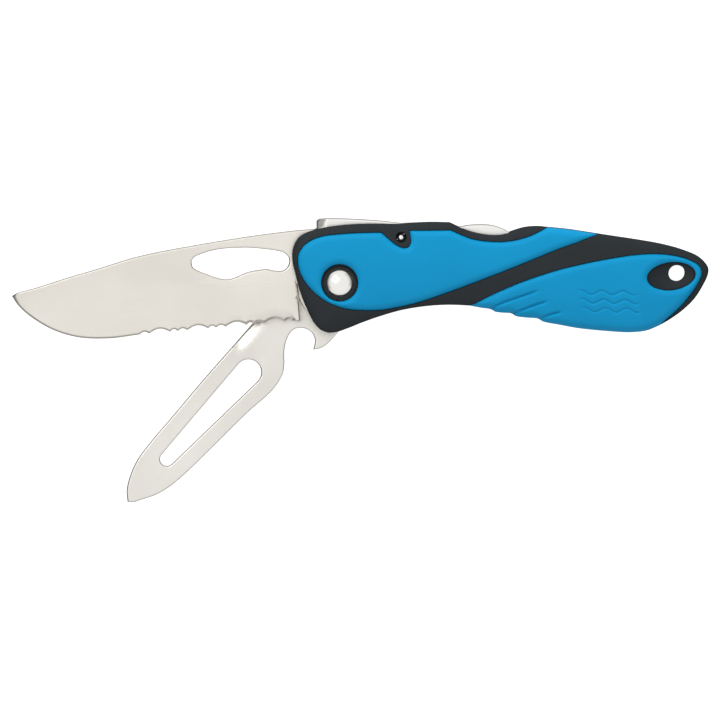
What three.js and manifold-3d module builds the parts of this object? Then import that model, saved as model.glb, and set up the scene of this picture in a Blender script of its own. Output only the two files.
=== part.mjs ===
// A folding rigging knife: a part-serrated blade and a slotted shackle key turn side by side on one pivot,
// and one spring-loaded lever along the spine locks them. The knife lies flat. Millimetres, +X towards the
// tail of the handle, +Y towards the spine, +Z up through the thickness. Outlines are drawn about the pivot
// axis with z = 0 at mid thickness; at the end the group moves so that its box stands centred on the origin.
import * as THREE from "three";
import { mergeVertices } from "three/addons/utils/BufferGeometryUtils.js";
import Module from "manifold-3d";

const wasm = await Module();
wasm.setup();

// ---- Driving dimensions -------------------------------------------------------------------------------

const toolThickness = 2.6; // blade and key plates
const dividerThickness = 0.8;
const washerGap = 0.4; // between a tang and the plate beside it
const washerThickness = 0.3;
const washerRadius = 7;
const linerThickness = 1.0;
const scaleThickness = 2.6; // liner to the black rim
const padInlay = 0.8; // depth of a pad's seat below the rim
const padProud = 0.8; // height of a pad above the rim
const fitGap = 0.2; // beside an inlaid or sliding piece
const padRounding = 0.7; // of a pad's upper edge
const scaleRounding = [1.3, 1.2]; // how far the scale's upper edge draws in and drops

const pivotBarrelRadius = 2.4;
const pivotBarrelProud = 1.0; // how far the barrel reaches into each scale
const pivotHeadRadius = 3.45;
const pivotHeadSeat = 1.1; // above the liner
const pivotHeadWall = 0.7; // upright part of the head below its dome
const pivotHeadSunk = 0.2; // top of the dome below the pads
const pivotRingRadius = 4.9; // round opening in the front pad
const screwShankRadius = 1.3;
const screwShankLength = 4;

const leverPin = [16.3, 12.0];
const leverPinRadius = 1.1;
const leverPinTipRadius = 0.6; // of the small flat that ends the pin's crown
const leverPinCrown = 0.7;
const leverPinSunk = 0.5; // below the rim
const pinSocketRadius = 1.9;
const pinSocketDepth = 1.2;
const leverWidth = 7.0;

const lanyardHole = [89.4, 2.4];
const lanyardHoleRadius = 2.2;
const dishCentre = [87.9, 1.7];
const dishSize = [6.5, 3.7]; // half length and half height
const dishTilt = 0.12;

const rivetRadius = 1.0;
const rivetProud = 0.7; // how far a rivet reaches into each scale
const frontRivet = [60, 11.8];
const tailRivet = [75, 9.5];

const bladeRimRadius = 11.5;
const keyRimRadius = 11.8;
const keyRestAngle = THREE.MathUtils.degToRad(46.1); // the key stands this far short of fully open
const edgeBevel = 0.9; // width of the ground edge on the blade
const bevelFadeIn = 3; // points over which the ground edge grows from the tip

const curveStep = 2.4; // spacing of the points along an outline
const fineStep = 2; // on the parts of an outline that bend more
const coarseStep = 4; // on the straighter backs of the blade and the key
const roundSegments = 24;
const pinSegments = 16;
const rimSteps = 26;
const past = 1; // how far a cutter runs past the faces that it cuts through

// ---- Heights worked out from the stack, from the middle outwards --------------------------------------

const toolInner = dividerThickness / 2 + washerGap;
const toolOuter = toolInner + toolThickness;
const linerInner = toolOuter + washerGap;
const linerOuter = linerInner + linerThickness;
const rimHeight = linerOuter + scaleThickness;
const padSeat = rimHeight - padInlay;
const padTop = rimHeight + padProud;

// ---- Outlines, each a list of runs: a run of two points is straight, a longer one is a smooth curve ----

const noseRun = [
  [-3.0, -13.3], [-5.0, -12.5], [-6.8, -10.6], [-8.6, -7.1], [-10.4, -2.6], [-11.6, 1.8], [-12.5, 6.0],
  [-12.3, 9.3], [-10.8, 12.0], [-8.2, 13.5], [-4.5, 14.5], [0, 15.2], [6, 15.6], [16, 15.6], [24.5, 15.9],
  [29.4, 15.8],
];
const thumbNotchRun = [
  [29.4, 15.8], [32, 14.6], [35.9, 13.3], [40.9, 12.6], [43.9, 12.9], [46.8, 13.9], [49.5, 14.6],
  [52.5, 14.8], [55.1, 14.6],
];
const topPadRun = [[55.1, 14.6], [61, 14.0], [66.2, 13.2]];
const tailRun = [
  [66.2, 13.2], [72, 12.3], [78, 11.4], [85.4, 10.1], [91.2, 8.5], [95.6, 6.5], [97.7, 4.0],
  [97.6, 2.0], [96.6, -0.2], [94.2, -4.1], [91.2, -7.1], [87.8, -9.6], [84.9, -11.3],
];
const bottomPadRun = [
  [84.9, -11.3], [81.5, -12.7], [77, -13.2], [72.5, -13.0], [63.2, -12.1], [58.3, -11.2], [53.8, -10.3],
  [52.7, -9.6], [49.5, -9.3], [46.7, -8.9], [45.6, -8.2], [43.2, -8.0], [41.1, -7.7], [40.2, -7.1],
  [37.6, -6.7], [34.4, -6.1],
];
const bellyRun = [
  [34.4, -6.1], [30, -5.9], [25.8, -6.0], [20.9, -6.5], [16, -7.4], [11.1, -8.8], [6.2, -10.5],
  [2.2, -12.1], [-0.8, -13.1], [-3.0, -13.3],
];
const handleRuns = [noseRun, thumbNotchRun, topPadRun, tailRun, bottomPadRun, bellyRun];

const frontPadRuns = [
  topPadRun,
  [[66.2, 13.2], [66.2, 12.1]],
  [
    [66.2, 12.1], [63.3, 10.8], [58.4, 9.1], [53.5, 7.1], [45.4, 3.8], [35.6, 0.0], [25.8, -3.6],
    [20.9, -5.2], [16.0, -6.4], [11.1, -7.2], [6.2, -7.3], [1.3, -6.8], [-3.6, -4.9], [-7.1, -2.2],
    [-9.6, 1.0], [-10.9, 4.4], [-10.9, 7.4], [-9.6, 9.7], [-7.4, 11.3], [-4.6, 12.3], [0.3, 12.9],
    [5.2, 13.2], [11.0, 13.3],
  ],
  [[11.0, 13.3], [13.5, 11.1], [15.1, 9.9], [16.7, 9.25], [18.1, 9.4], [18.9, 10.6], [18.6, 13.8]],
  [[18.6, 13.8], [29.4, 13.9]],
  [[29.4, 13.9], [35, 11.6], [41, 10.8], [45.8, 11.1], [50.3, 12.3], [55.1, 14.6]],
];
const tailPadRuns = [
  [
    [35.6, -5.7], [38.8, -4.0], [43.7, -1.7], [48.6, 0.3], [53.5, 2.0], [58.4, 3.5], [63.3, 4.7],
    [68.1, 5.7], [73, 6.6], [78, 7.3], [82.9, 7.6], [87.7, 7.3], [91.9, 6.3], [95.2, 4.5], [96.0, 2.4],
    [95.2, 0.2], [93.2, -2.9], [90.3, -6.4], [87.6, -8.9], [84.9, -11.3],
  ],
  bottomPadRun,
  [[34.4, -6.1], [35.6, -5.7]],
];
const bladeSpineRun = [
  [-6.3, 14.2], [-11.3, 13.8], [-18.8, 12.9], [-26.6, 11.8], [-36.3, 10.2], [-46.3, 8.4], [-54.4, 6.6],
  [-64.4, 3.5], [-72.2, 1.2], [-81, -1.6], [-85.2, -2.7], [-86.8, -3.6],
];
const bladeBellyRun = [
  [-86.8, -3.6], [-85.4, -6.0], [-83.8, -7.9], [-81, -9.9], [-77.2, -12.1], [-73.8, -13.5],
  [-69.5, -14.5], [-64.4, -14.9], [-59.4, -14.7], [-52.9, -13.8],
];
const bladeHeelCorner = [-12.4, -10.2];
const bladeHeelRun = [[-10.2, -10.2], [-10.6, -5.5]];
const bladeRimEnd = THREE.MathUtils.degToRad(-158); // where the rim meets the heel
const scallops = [[2.5, 0.6], [5.5, 1.05], [2.1, 0.6]]; // width and depth of one group's serrations
const scallopGroups = 4;
const wideScallop = 3; // a scallop wider than this takes more points
const openingHoleRuns = [
  [
    [-39.2, 5.5], [-38.6, 6.6], [-36.7, 7.5], [-33.5, 8.5], [-30.2, 9.0], [-26.9, 9.2], [-23.6, 9.2],
    [-20.2, 8.9], [-17.1, 8.5], [-14.8, 7.9], [-13.4, 6.6], [-13.3, 5.2], [-13.9, 3.9], [-15, 3.1],
    [-17.1, 3.1], [-19.2, 3.5], [-21.3, 3.3], [-23.6, 2.9], [-25.6, 2.2], [-27.6, 1.3], [-29.9, 0.8],
    [-32.3, 1.2], [-34.6, 2.0], [-37.2, 3.0], [-38.8, 4.0], [-39.2, 5.5],
  ],
];

// The key is drawn fully open: its tip points to -X and its back is up.
const keyBackRun = [
  [-6.3, 12.6], [-12, 10.4], [-20, 9.2], [-31.9, 8.5], [-43.1, 8.0], [-55.5, 7.2], [-66.2, 6.5],
  [-71.6, 5.7], [-76.4, 3.8], [-79, 2.1], [-80.8, 0],
];
const keyFrontRun = [
  [-80.8, 0], [-79.8, -1.2], [-78.1, -2.1], [-74.2, -4.1], [-69.8, -5.3], [-63.3, -5.9], [-53.2, -6.2],
  [-41.6, -6.5], [-36, -7.0], [-33.0, -7.1], [-30.3, -6.8], [-27.7, -6.0], [-25.7, -4.6],
  [-23.7, -2.6], [-21.3, -0.9], [-18.8, 0], [-16.9, -0.2], [-15.4, -1.5], [-14.7, -3.2], [-14.8, -4.8],
  [-15.7, -6.3], [-17.6, -7.5],
];
const keyHookRun = [[-17.6, -7.5], [-16.2, -8.5], [-14.1, -9.1], [-11.5, -9.1], [-9.3, -9.0]];
const keySlotWide = { x: -33.9, y: 0.75, radius: 3.45 };
const keySlotNarrow = { x: -65.4, y: 0.35, radius: 1.85 };
const keyNickRun = [[-32.4, 8.9], [-31.6, 6.9], [-29.8, 6.1], [-26.7, 6.1], [-22, 7.1], [-17, 10.2]];
const keyNickDepth = 0.8;
const keyThroatDepth = 9.6; // the rim meets the hook this far below the axis

const notchFloor = 9.6; // both tangs have the same notch in their rim for the lever's tooth
const notchFront = -6.3;
const notchRear = -2.5;

const leverTopRun = [
  [-6.0, 16.2], [-5.5, 16.7], [-3.2, 16.9], [3, 16.8], [10.8, 16.3], [18, 15.5], [26, 14.9], [32, 14.8],
  [34.7, 15.2], [40, 15.2], [42.6, 14.5], [44.8, 13.4], [45.6, 12.4],
];
const leverUnderRun = [
  [45.6, 12.4], [44, 12.1], [30, 11.4], [21, 10.5], [18.5, 10.2], [13.5, 10.2], [10.8, 10.9], [7, 12.7],
  [2, 13.4], [-2.6, 13.4],
];
const leverToothRuns = [
  [[-2.6, 13.4], [-2.8, 12.1]],
  [[-2.8, 12.1], [-6.0, 10.9]],
  [[-6.0, 10.9], [-6.0, 16.2]],
];
const springRun = [[21, 9.5], [30, 10.2], [44, 10.4], [50, 10.9], [57, 11.3]];
const springThickness = 0.9;
const springWidth = 6.4;
const springRear = 0.4; // straight end of the leaf in its slot
const springSlotRear = 1;
const springClearance = 0.1; // beside the leaf in the divider, on top of the fit

const spacerInnerRun = [
  [91.6, -6.1], [88.6, -5.6], [88.0, -3.0], [86.4, -0.6], [85.0, 3.0], [80, 5.4], [74, 7.4], [68, 9.0],
  [60, 9.9], [49.6, 10.2],
];
const spacerOuterInset = 0.6;
const spacerFront = 50; // the spacer's outer edge starts here on the spine side
const spacerSpineLow = 4; // and follows the spine down to this height
const spacerTail = [91.8, -6]; // then the tail behind and above this point
const spacerMiddle = 70; // the outer edge is sorted by angle about this place on the axis
const linerInset = 0.8;
const dividerTopRun = [
  [96.4, 5.4], [90, 8.1], [78, 10.6], [68, 12.0], [60, 13.0], [53, 13.4], [51.5, 10.2], [48, 8.6],
  [20, 8.2], [10, 8.6], [4, 10.4], [-3.4, 10.4], [-8.5, 9.2], [-10.4, 6.4],
];
const dividerLowerRun = [
  [-10.4, 6.4], [-9.8, 2.2], [-7.4, -5], [-4.6, -10.6], [-2.6, -11.6], [2, -10.4], [11, -7.4],
  [20, -5.2], [30, -4.7], [40, -6], [52, -8.2], [64, -10.8], [76, -11.8], [84, -10.2], [90, -6.6],
  [95.2, -0.2], [96.4, 5.4],
];

// ---- Materials -----------------------------------------------------------------------------------------

const satinSteel = new THREE.MeshStandardMaterial({ color: 0xd6d4cd, roughness: 0.34, metalness: 1 });
const linerSteel = new THREE.MeshStandardMaterial({ color: 0xb9b8b3, roughness: 0.42, metalness: 1 });
const polishedSteel = new THREE.MeshStandardMaterial({ color: 0xe9e8e4, roughness: 0.08, metalness: 1 });
const springSteel = new THREE.MeshStandardMaterial({ color: 0x8d8d8a, roughness: 0.4, metalness: 1 });
const bronze = new THREE.MeshStandardMaterial({ color: 0xb58a4a, roughness: 0.4, metalness: 1 });
const blackNylon = new THREE.MeshStandardMaterial({ color: 0x2b2a2c, roughness: 0.6, metalness: 0 });
const blueRubber = new THREE.MeshStandardMaterial({ color: 0x1c8fc9, roughness: 0.55, metalness: 0 });

// ---- Shape helpers -------------------------------------------------------------------------------------

// Points along the runs, evenly spaced; each run starts where the one before it ends.
function pointsAlong(runs, step = curveStep) {
  const points = [];
  for (const run of runs) {
    const knots = run.map(([x, y]) => new THREE.Vector3(x, y, 0));
    const curve = new THREE.CatmullRomCurve3(knots, false, "centripetal");
    const count = run.length === 2 ? 1 : Math.max(2, Math.round(curve.getLength() / step));
    for (let i = 0; i < count; i++) {
      const point = curve.getPointAt(i / count);
      points.push(new THREE.Vector2(point.x, point.y));
    }
  }
  return points;
}

// Points of an arc from one angle to another, both ends included.
function arcPoints(cx, cy, radius, from, to, count) {
  const points = [];
  for (let i = 0; i <= count; i++) {
    const angle = from + ((to - from) * i) / count;
    points.push(new THREE.Vector2(cx + radius * Math.cos(angle), cy + radius * Math.sin(angle)));
  }
  return points;
}

function counterClockwise(points) {
  return THREE.ShapeUtils.isClockWise(points) ? [...points].reverse() : points;
}

// Each point of a counter-clockwise outline moved inwards, at a sharp corner at most twice as far.
function insetOutline(points, distance) {
  const leastStretch = 0.5;
  const count = points.length;
  return points.map((point, i) => {
    const before = points[(i + count - 1) % count];
    const after = points[(i + 1) % count];
    const a = new THREE.Vector2().subVectors(point, before).normalize();
    const b = new THREE.Vector2().subVectors(after, point).normalize();
    const inward = new THREE.Vector2(-a.y - b.y, a.x + b.x).normalize();
    const stretch = Math.max(leastStretch, inward.dot(new THREE.Vector2(-a.y, a.x)));
    return new THREE.Vector2().copy(point).addScaledVector(inward, distance / stretch);
  });
}

// A closed solid through rings of equal length, given from the lowest to the highest.
function stackedRings(rings, heights) {
  const count = rings[0].length;
  const positions = [];
  const indices = [];
  rings.forEach((ring, level) => {
    for (const point of ring) positions.push(point.x, point.y, heights[level]);
  });
  for (let level = 0; level + 1 < rings.length; level++) {
    for (let i = 0; i < count; i++) {
      const low = level * count;
      const high = low + count;
      const next = (i + 1) % count;
      indices.push(low + i, low + next, high + next, low + i, high + next, high + i);
    }
  }
  const top = (rings.length - 1) * count;
  for (const [a, b, c] of THREE.ShapeUtils.triangulateShape(rings[0], [])) {
    indices.push(a, c, b);
    indices.push(top + a, top + b, top + c);
  }
  const geometry = new THREE.BufferGeometry();
  geometry.setAttribute("position", new THREE.Float32BufferAttribute(positions, 3));
  geometry.setIndex(indices);
  return geometry;
}

function plate(points, low, high) {
  const ring = counterClockwise(points);
  return stackedRings([ring, ring], [low, high]);
}

// A plate whose upper edge is rounded off in two steps.
function softPlate(points, low, high, radius, drop) {
  const ring = counterClockwise(points);
  const rings = [ring, ring];
  const heights = [low, high - drop];
  for (const angle of [Math.PI / 4, Math.PI / 2]) {
    rings.push(insetOutline(ring, radius * (1 - Math.cos(angle))));
    heights.push(high - drop + drop * Math.sin(angle));
  }
  return stackedRings(rings, heights);
}

function rod([x, y], radius, low, high, segments = roundSegments) {
  return plate(arcPoints(x, y, radius, 0, 2 * Math.PI, segments).slice(1), low, high);
}

// A solid of revolution about an upright axis through (x, y).
function turned([x, y], profile, segments = roundSegments) {
  const geometry = new THREE.LatheGeometry(profile.map(([r, z]) => new THREE.Vector2(r, z)), segments);
  return geometry.rotateX(Math.PI / 2).translate(x, y, 0);
}

function solidOf(geometry) {
  const bare = geometry.clone();
  bare.deleteAttribute("normal");
  bare.deleteAttribute("uv");
  const merged = mergeVertices(bare, 1e-4);
  const vertProperties = merged.attributes.position.array;
  return new wasm.Manifold(
    new wasm.Mesh({ numProp: 3, vertProperties, triVerts: new Uint32Array(merged.index.array) }),
  );
}

function geometryOf(solid) {
  const mesh = solid.getMesh();
  const geometry = new THREE.BufferGeometry();
  geometry.setAttribute("position", new THREE.BufferAttribute(mesh.vertProperties, 3));
  geometry.setIndex(new THREE.BufferAttribute(mesh.triVerts, 1));
  return geometry;
}

function carved(geometry, cutters) {
  return geometryOf(cutters.reduce((solid, cutter) => solid.subtract(solidOf(cutter)), solidOf(geometry)));
}

function piece(name, geometry, material) {
  const mesh = new THREE.Mesh(geometry, material);
  mesh.name = name;
  return mesh;
}

// The same piece on the underside of the knife.
function mirrored(name, mesh) {
  const copy = piece(name, mesh.geometry, mesh.material);
  copy.scale.z = -1;
  return copy;
}

// ---- Handle --------------------------------------------------------------------------------------------

const handleOutline = counterClockwise(pointsAlong(handleRuns));

// Holes for the pieces that run through a plate of the handle.
function throughHoles(low, high, places) {
  return places.map(([place, radius, segments]) => rod(place, radius, low - past, high + past, segments));
}

const pivotHole = [[0, 0], pivotBarrelRadius + fitGap, roundSegments];
const leverPinHole = [leverPin, leverPinRadius + fitGap, pinSegments];
const lanyardBore = [lanyardHole, lanyardHoleRadius, roundSegments];
const rivetHoles = [frontRivet, tailRivet].map((place) => [place, rivetRadius + fitGap, pinSegments]);

function dishOutline(grow) {
  const points = arcPoints(0, 0, 1, 0, 2 * Math.PI, roundSegments).slice(1);
  return points.map((point) =>
    new THREE.Vector2(point.x * (dishSize[0] + grow), point.y * (dishSize[1] + grow))
      .rotateAround(new THREE.Vector2(), dishTilt)
      .add(new THREE.Vector2(...dishCentre)),
  );
}

function topScale() {
  const [edgeRadius, edgeDrop] = scaleRounding;
  const rivetPocketTop = linerOuter + rivetProud + fitGap;
  const islandTop = rimHeight - fitGap;
  const body = softPlate(handleOutline, linerOuter, rimHeight, edgeRadius, edgeDrop);
  const seats = [frontPadRuns, tailPadRuns].map((runs) =>
    plate(insetOutline(counterClockwise(pointsAlong(runs)), -fitGap), padSeat, padTop + past),
  );
  const ring = rod([0, 0], pivotRingRadius - fitGap, linerOuter, rimHeight);
  const island = plate(dishOutline(-fitGap), linerOuter, islandTop);
  const seated = carved(body, seats);
  const joined = geometryOf(solidOf(seated).add(solidOf(ring)).add(solidOf(island)));
  return piece(
    "top_scale",
    carved(joined, [
      ...throughHoles(linerOuter, padTop, [pivotHole, leverPinHole, lanyardBore]),
      ...throughHoles(linerOuter, rivetPocketTop - past, rivetHoles),
      rod([0, 0], pivotHeadRadius + fitGap, linerOuter + pivotHeadSeat, padTop + past),
      rod(leverPin, pinSocketRadius, rimHeight - pinSocketDepth, padTop + past),
    ]),
    blackNylon,
  );
}

function topFrontPad() {
  const body = softPlate(pointsAlong(frontPadRuns), padSeat, padTop, padRounding, padRounding);
  const opening = rod([0, 0], pivotRingRadius, padSeat - past, padTop + past);
  return piece("top_front_pad", carved(body, [opening]), blueRubber);
}

function topTailPad() {
  const body = softPlate(pointsAlong(tailPadRuns), padSeat, padTop, padRounding, padRounding);
  const opening = plate(dishOutline(0), padSeat - past, padTop + past);
  return piece("top_tail_pad", carved(body, [opening]), blueRubber);
}

function topLiner() {
  const body = plate(insetOutline(handleOutline, linerInset), linerInner, linerOuter);
  const holes = throughHoles(linerInner, linerOuter, [pivotHole, leverPinHole, lanyardBore, ...rivetHoles]);
  return piece("top_liner", carved(body, holes), linerSteel);
}

function dividerPlate() {
  const half = dividerThickness / 2;
  const body = plate(pointsAlong([dividerTopRun, dividerLowerRun], 3), -half, half);
  const springSlot = springThickness + 2 * (fitGap + springClearance);
  return piece(
    "divider_plate",
    carved(body, [
      ...throughHoles(-half, half, [pivotHole, lanyardBore, ...rivetHoles]),
      springBlank(springSlot, springWidth, springSlotRear),
    ]),
    linerSteel,
  );
}

// The part of the handle's outline that the back spacers follow, from the thumb notch round the tail.
function spacerOutline() {
  const inner = pointsAlong([spacerInnerRun], fineStep);
  const [tailX, tailY] = spacerTail;
  const angleOf = (point) => Math.atan2(point.y, point.x - spacerMiddle);
  const outer = insetOutline(handleOutline, spacerOuterInset).filter(
    ({ x, y }) => x > spacerFront && (y > spacerSpineLow || (x > tailX && y > tailY)),
  );
  outer.sort((a, b) => angleOf(a) - angleOf(b));
  return [...outer, ...inner.reverse()];
}

function bladeSpacer() {
  const low = dividerThickness / 2;
  const body = plate(spacerOutline(), low, linerInner);
  return piece(
    "blade_spacer",
    carved(body, [
      springBlank(springThickness + 2 * fitGap, springWidth + 2 * fitGap, springSlotRear),
      ...throughHoles(low, linerInner, [lanyardBore, ...rivetHoles]),
    ]),
    blackNylon,
  );
}

// ---- Lock ----------------------------------------------------------------------------------------------

function lockLever() {
  const outline = pointsAlong([leverTopRun, leverUnderRun, ...leverToothRuns]);
  const body = plate(outline, -leverWidth / 2, leverWidth / 2);
  const bore = rod(leverPin, leverPinRadius + fitGap, -leverWidth, leverWidth);
  return piece("lock_lever", carved(body, [bore]), satinSteel);
}

// The leaf spring's bar, as thick and as wide as asked, its rear end longer by the given reach.
function springBlank(thickness, width, reach) {
  const middle = pointsAlong([springRun], 3);
  middle.push(new THREE.Vector2(...springRun.at(-1)));
  middle.push(new THREE.Vector2(springRun.at(-1)[0] + reach, springRun.at(-1)[1]));
  const upper = middle.map((point) => new THREE.Vector2(point.x, point.y + thickness / 2));
  const lower = middle.map((point) => new THREE.Vector2(point.x, point.y - thickness / 2));
  return plate([...lower, ...upper.reverse()], -width / 2, width / 2);
}

function leverSpring() {
  return piece("lever_spring", springBlank(springThickness, springWidth, springRear), springSteel);
}

function leverPinPiece() {
  const half = rimHeight - leverPinSunk;
  const shoulder = half - leverPinCrown;
  const tip = half - leverPinCrown / 5;
  const profile = [[0, -half], [leverPinTipRadius, -tip], [leverPinRadius, -shoulder]];
  profile.push([leverPinRadius, shoulder], [leverPinTipRadius, tip], [0, half]);
  return piece("lever_pin", turned(leverPin, profile, pinSegments), polishedSteel);
}

// ---- Pivot ---------------------------------------------------------------------------------------------

function pivotBarrel() {
  const half = linerOuter + pivotBarrelProud;
  const bore = screwShankRadius + fitGap;
  const profile = [[bore, -half], [pivotBarrelRadius, -half], [pivotBarrelRadius, half], [bore, half]];
  profile.push([bore, -half]);
  return piece("pivot_barrel", turned([0, 0], profile), springSteel);
}

function topPivotScrew() {
  const seat = linerOuter + pivotHeadSeat;
  const edge = seat + pivotHeadWall;
  const crown = padTop - pivotHeadSunk;
  const profile = [[0, seat - screwShankLength], [screwShankRadius, seat - screwShankLength]];
  profile.push([screwShankRadius, seat], [pivotHeadRadius, seat], [pivotHeadRadius, edge]);
  const steps = 5;
  for (let i = 1; i <= steps; i++) {
    const angle = (i / steps) * (Math.PI / 2);
    const radius = i === steps ? 0 : pivotHeadRadius * Math.cos(angle);
    profile.push([radius, edge + (crown - edge) * Math.sin(angle)]);
  }
  return piece("top_pivot_screw", turned([0, 0], profile), polishedSteel);
}

function washer(name, middle) {
  const inner = pivotBarrelRadius + fitGap;
  const low = middle - washerThickness / 2;
  const high = middle + washerThickness / 2;
  const profile = [[inner, low], [washerRadius, low], [washerRadius, high], [inner, high], [inner, low]];
  return piece(name, turned([0, 0], profile), bronze);
}

function rivet(name, place) {
  const half = linerOuter + rivetProud;
  return piece(name, rod(place, rivetRadius, -half, half, pinSegments), springSteel);
}

// ---- Blade and key -------------------------------------------------------------------------------------

// The rim of a tang, from the rear wall of the lock notch clockwise to the given angle, and the notch.
function tangPoints(rimRadius, endAngle) {
  const startAngle = Math.atan2(Math.sqrt(rimRadius ** 2 - notchRear ** 2), notchRear);
  return [
    new THREE.Vector2(notchFront, notchFloor),
    new THREE.Vector2(notchRear, notchFloor),
    ...arcPoints(0, 0, rimRadius, startAngle, endAngle, rimSteps),
  ];
}

// Scallops in groups of a small, a large and a small one, from the belly back to the heel.
function serrationPoints() {
  const start = new THREE.Vector2(...bladeBellyRun.at(-1));
  const end = new THREE.Vector2(...bladeHeelCorner);
  const groupWidth = scallops.reduce((sum, [width]) => sum + width, 0);
  const stretch = (end.x - start.x) / (scallopGroups * groupWidth);
  const points = [];
  let x = start.x;
  for (let group = 0; group < scallopGroups; group++) {
    for (const [width, depth] of scallops) {
      const steps = width > wideScallop ? 7 : 4;
      for (let i = 0; i < steps; i++) {
        const across = x + (width * stretch * i) / steps;
        const line = THREE.MathUtils.mapLinear(across, start.x, end.x, start.y, end.y);
        points.push(new THREE.Vector2(across, line + depth * Math.sin((Math.PI * i) / steps)));
      }
      x += width * stretch;
    }
  }
  points.push(end);
  return points;
}

function mainBlade() {
  const spine = pointsAlong([bladeSpineRun], coarseStep);
  const belly = pointsAlong([bladeBellyRun], fineStep);
  const serrations = serrationPoints();
  const heel = bladeHeelRun.map(([x, y]) => new THREE.Vector2(x, y));
  const tang = tangPoints(bladeRimRadius, bladeRimEnd).reverse();
  const outline = [...spine, ...belly, ...serrations, ...heel, ...tang];
  // The ground edge: the belly's bevel runs square to the edge, the serrations' bevel straight up.
  const inset = insetOutline(outline, edgeBevel);
  const serrationStart = spine.length + belly.length;
  const serrationEnd = serrationStart + serrations.length - 1;
  const face = outline.map((point, i) => {
    const fade = Math.min(1, (i - spine.length) / bevelFadeIn);
    if (i > spine.length && i < serrationStart) return point.clone().lerp(inset[i], fade);
    const lift = i >= serrationStart && i < serrationEnd ? edgeBevel : 0;
    return new THREE.Vector2(point.x, point.y + lift);
  });
  const middle = (toolInner + toolOuter) / 2;
  const body = stackedRings([face, outline, face], [toolInner, middle, toolOuter]);
  return piece(
    "main_blade",
    carved(body, [
      ...throughHoles(toolInner, toolOuter, [pivotHole]),
      plate(pointsAlong(openingHoleRuns), toolInner - past, toolOuter + past),
    ]),
    satinSteel,
  );
}

function slotOutline() {
  const dx = keySlotNarrow.x - keySlotWide.x;
  const dy = keySlotNarrow.y - keySlotWide.y;
  const along = Math.atan2(dy, dx);
  const lean = Math.acos((keySlotWide.radius - keySlotNarrow.radius) / Math.hypot(dx, dy));
  const wideArc = [along + lean, along + 2 * Math.PI - lean];
  return [
    ...arcPoints(keySlotWide.x, keySlotWide.y, keySlotWide.radius, ...wideArc, 16),
    ...arcPoints(keySlotNarrow.x, keySlotNarrow.y, keySlotNarrow.radius, along - lean, along + lean, 10),
  ];
}

function shackleKey() {
  const rimEnd = Math.atan2(-keyThroatDepth, -Math.sqrt(keyRimRadius ** 2 - keyThroatDepth ** 2));
  const outline = [
    ...pointsAlong([keyBackRun], coarseStep),
    ...pointsAlong([keyFrontRun, keyHookRun], fineStep),
    ...tangPoints(keyRimRadius, rimEnd).reverse(),
  ];
  const body = plate(outline, -toolOuter, -toolInner);
  const nickOutline = [...pointsAlong([keyNickRun], fineStep), new THREE.Vector2(...keyNickRun.at(-1))];
  const mesh = piece(
    "shackle_key",
    carved(body, [
      ...throughHoles(-toolOuter, -toolInner, [pivotHole]),
      plate(slotOutline(), -toolOuter - past, -toolInner + past),
      plate(nickOutline, -toolInner - keyNickDepth, -toolInner + past),
    ]),
    satinSteel,
  );
  mesh.rotation.z = keyRestAngle;
  return mesh;
}

// ---- Assembly ------------------------------------------------------------------------------------------

const knife = new THREE.Group();
const upperHalf = [topScale(), topFrontPad(), topTailPad(), topLiner(), topPivotScrew(), bladeSpacer()];
const lowerNames = [
  "bottom_scale",
  "bottom_front_pad",
  "bottom_tail_pad",
  "bottom_liner",
  "bottom_pivot_screw",
  "key_spacer",
];
knife.add(...upperHalf);
knife.add(...upperHalf.map((mesh, i) => mirrored(lowerNames[i], mesh)));
knife.add(dividerPlate(), mainBlade(), shackleKey());
knife.add(lockLever(), leverSpring(), leverPinPiece(), pivotBarrel());
const innerWasher = dividerThickness / 2 + washerGap / 2;
const outerWasher = toolOuter + washerGap / 2;
knife.add(washer("blade_inner_washer", innerWasher), washer("blade_outer_washer", outerWasher));
knife.add(washer("key_inner_washer", -innerWasher), washer("key_outer_washer", -outerWasher));
knife.add(rivet("front_rivet", frontRivet), rivet("tail_rivet", tailRivet));

// The origin is the bottom centre of the box round the whole knife.
const box = new THREE.Box3().setFromObject(knife, true);
const centre = box.getCenter(new THREE.Vector3());
knife.position.set(-centre.x, -centre.y, -box.min.z);

export default knife;
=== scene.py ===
"""A folding rigging knife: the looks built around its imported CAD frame.

The knife lies flat with its part-serrated blade fully open and its shackle key half open. Outlines are
millimetres about the pivot axis, +X towards the tail, +Y towards the spine and heights from mid thickness,
as the knife is drawn on the bench; they become metres in the shared frame when a mesh is made.
"""

from __future__ import annotations

import logging
import math
from dataclasses import dataclass, field
from enum import Enum
from typing import Any, Callable, Iterable, Sequence

import bpy
import numpy as np
from bpy.types import Material, Mesh, Node, NodeSocket, NodeTree
from mathutils import Matrix, Vector
from mathutils.geometry import delaunay_2d_cdt


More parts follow.
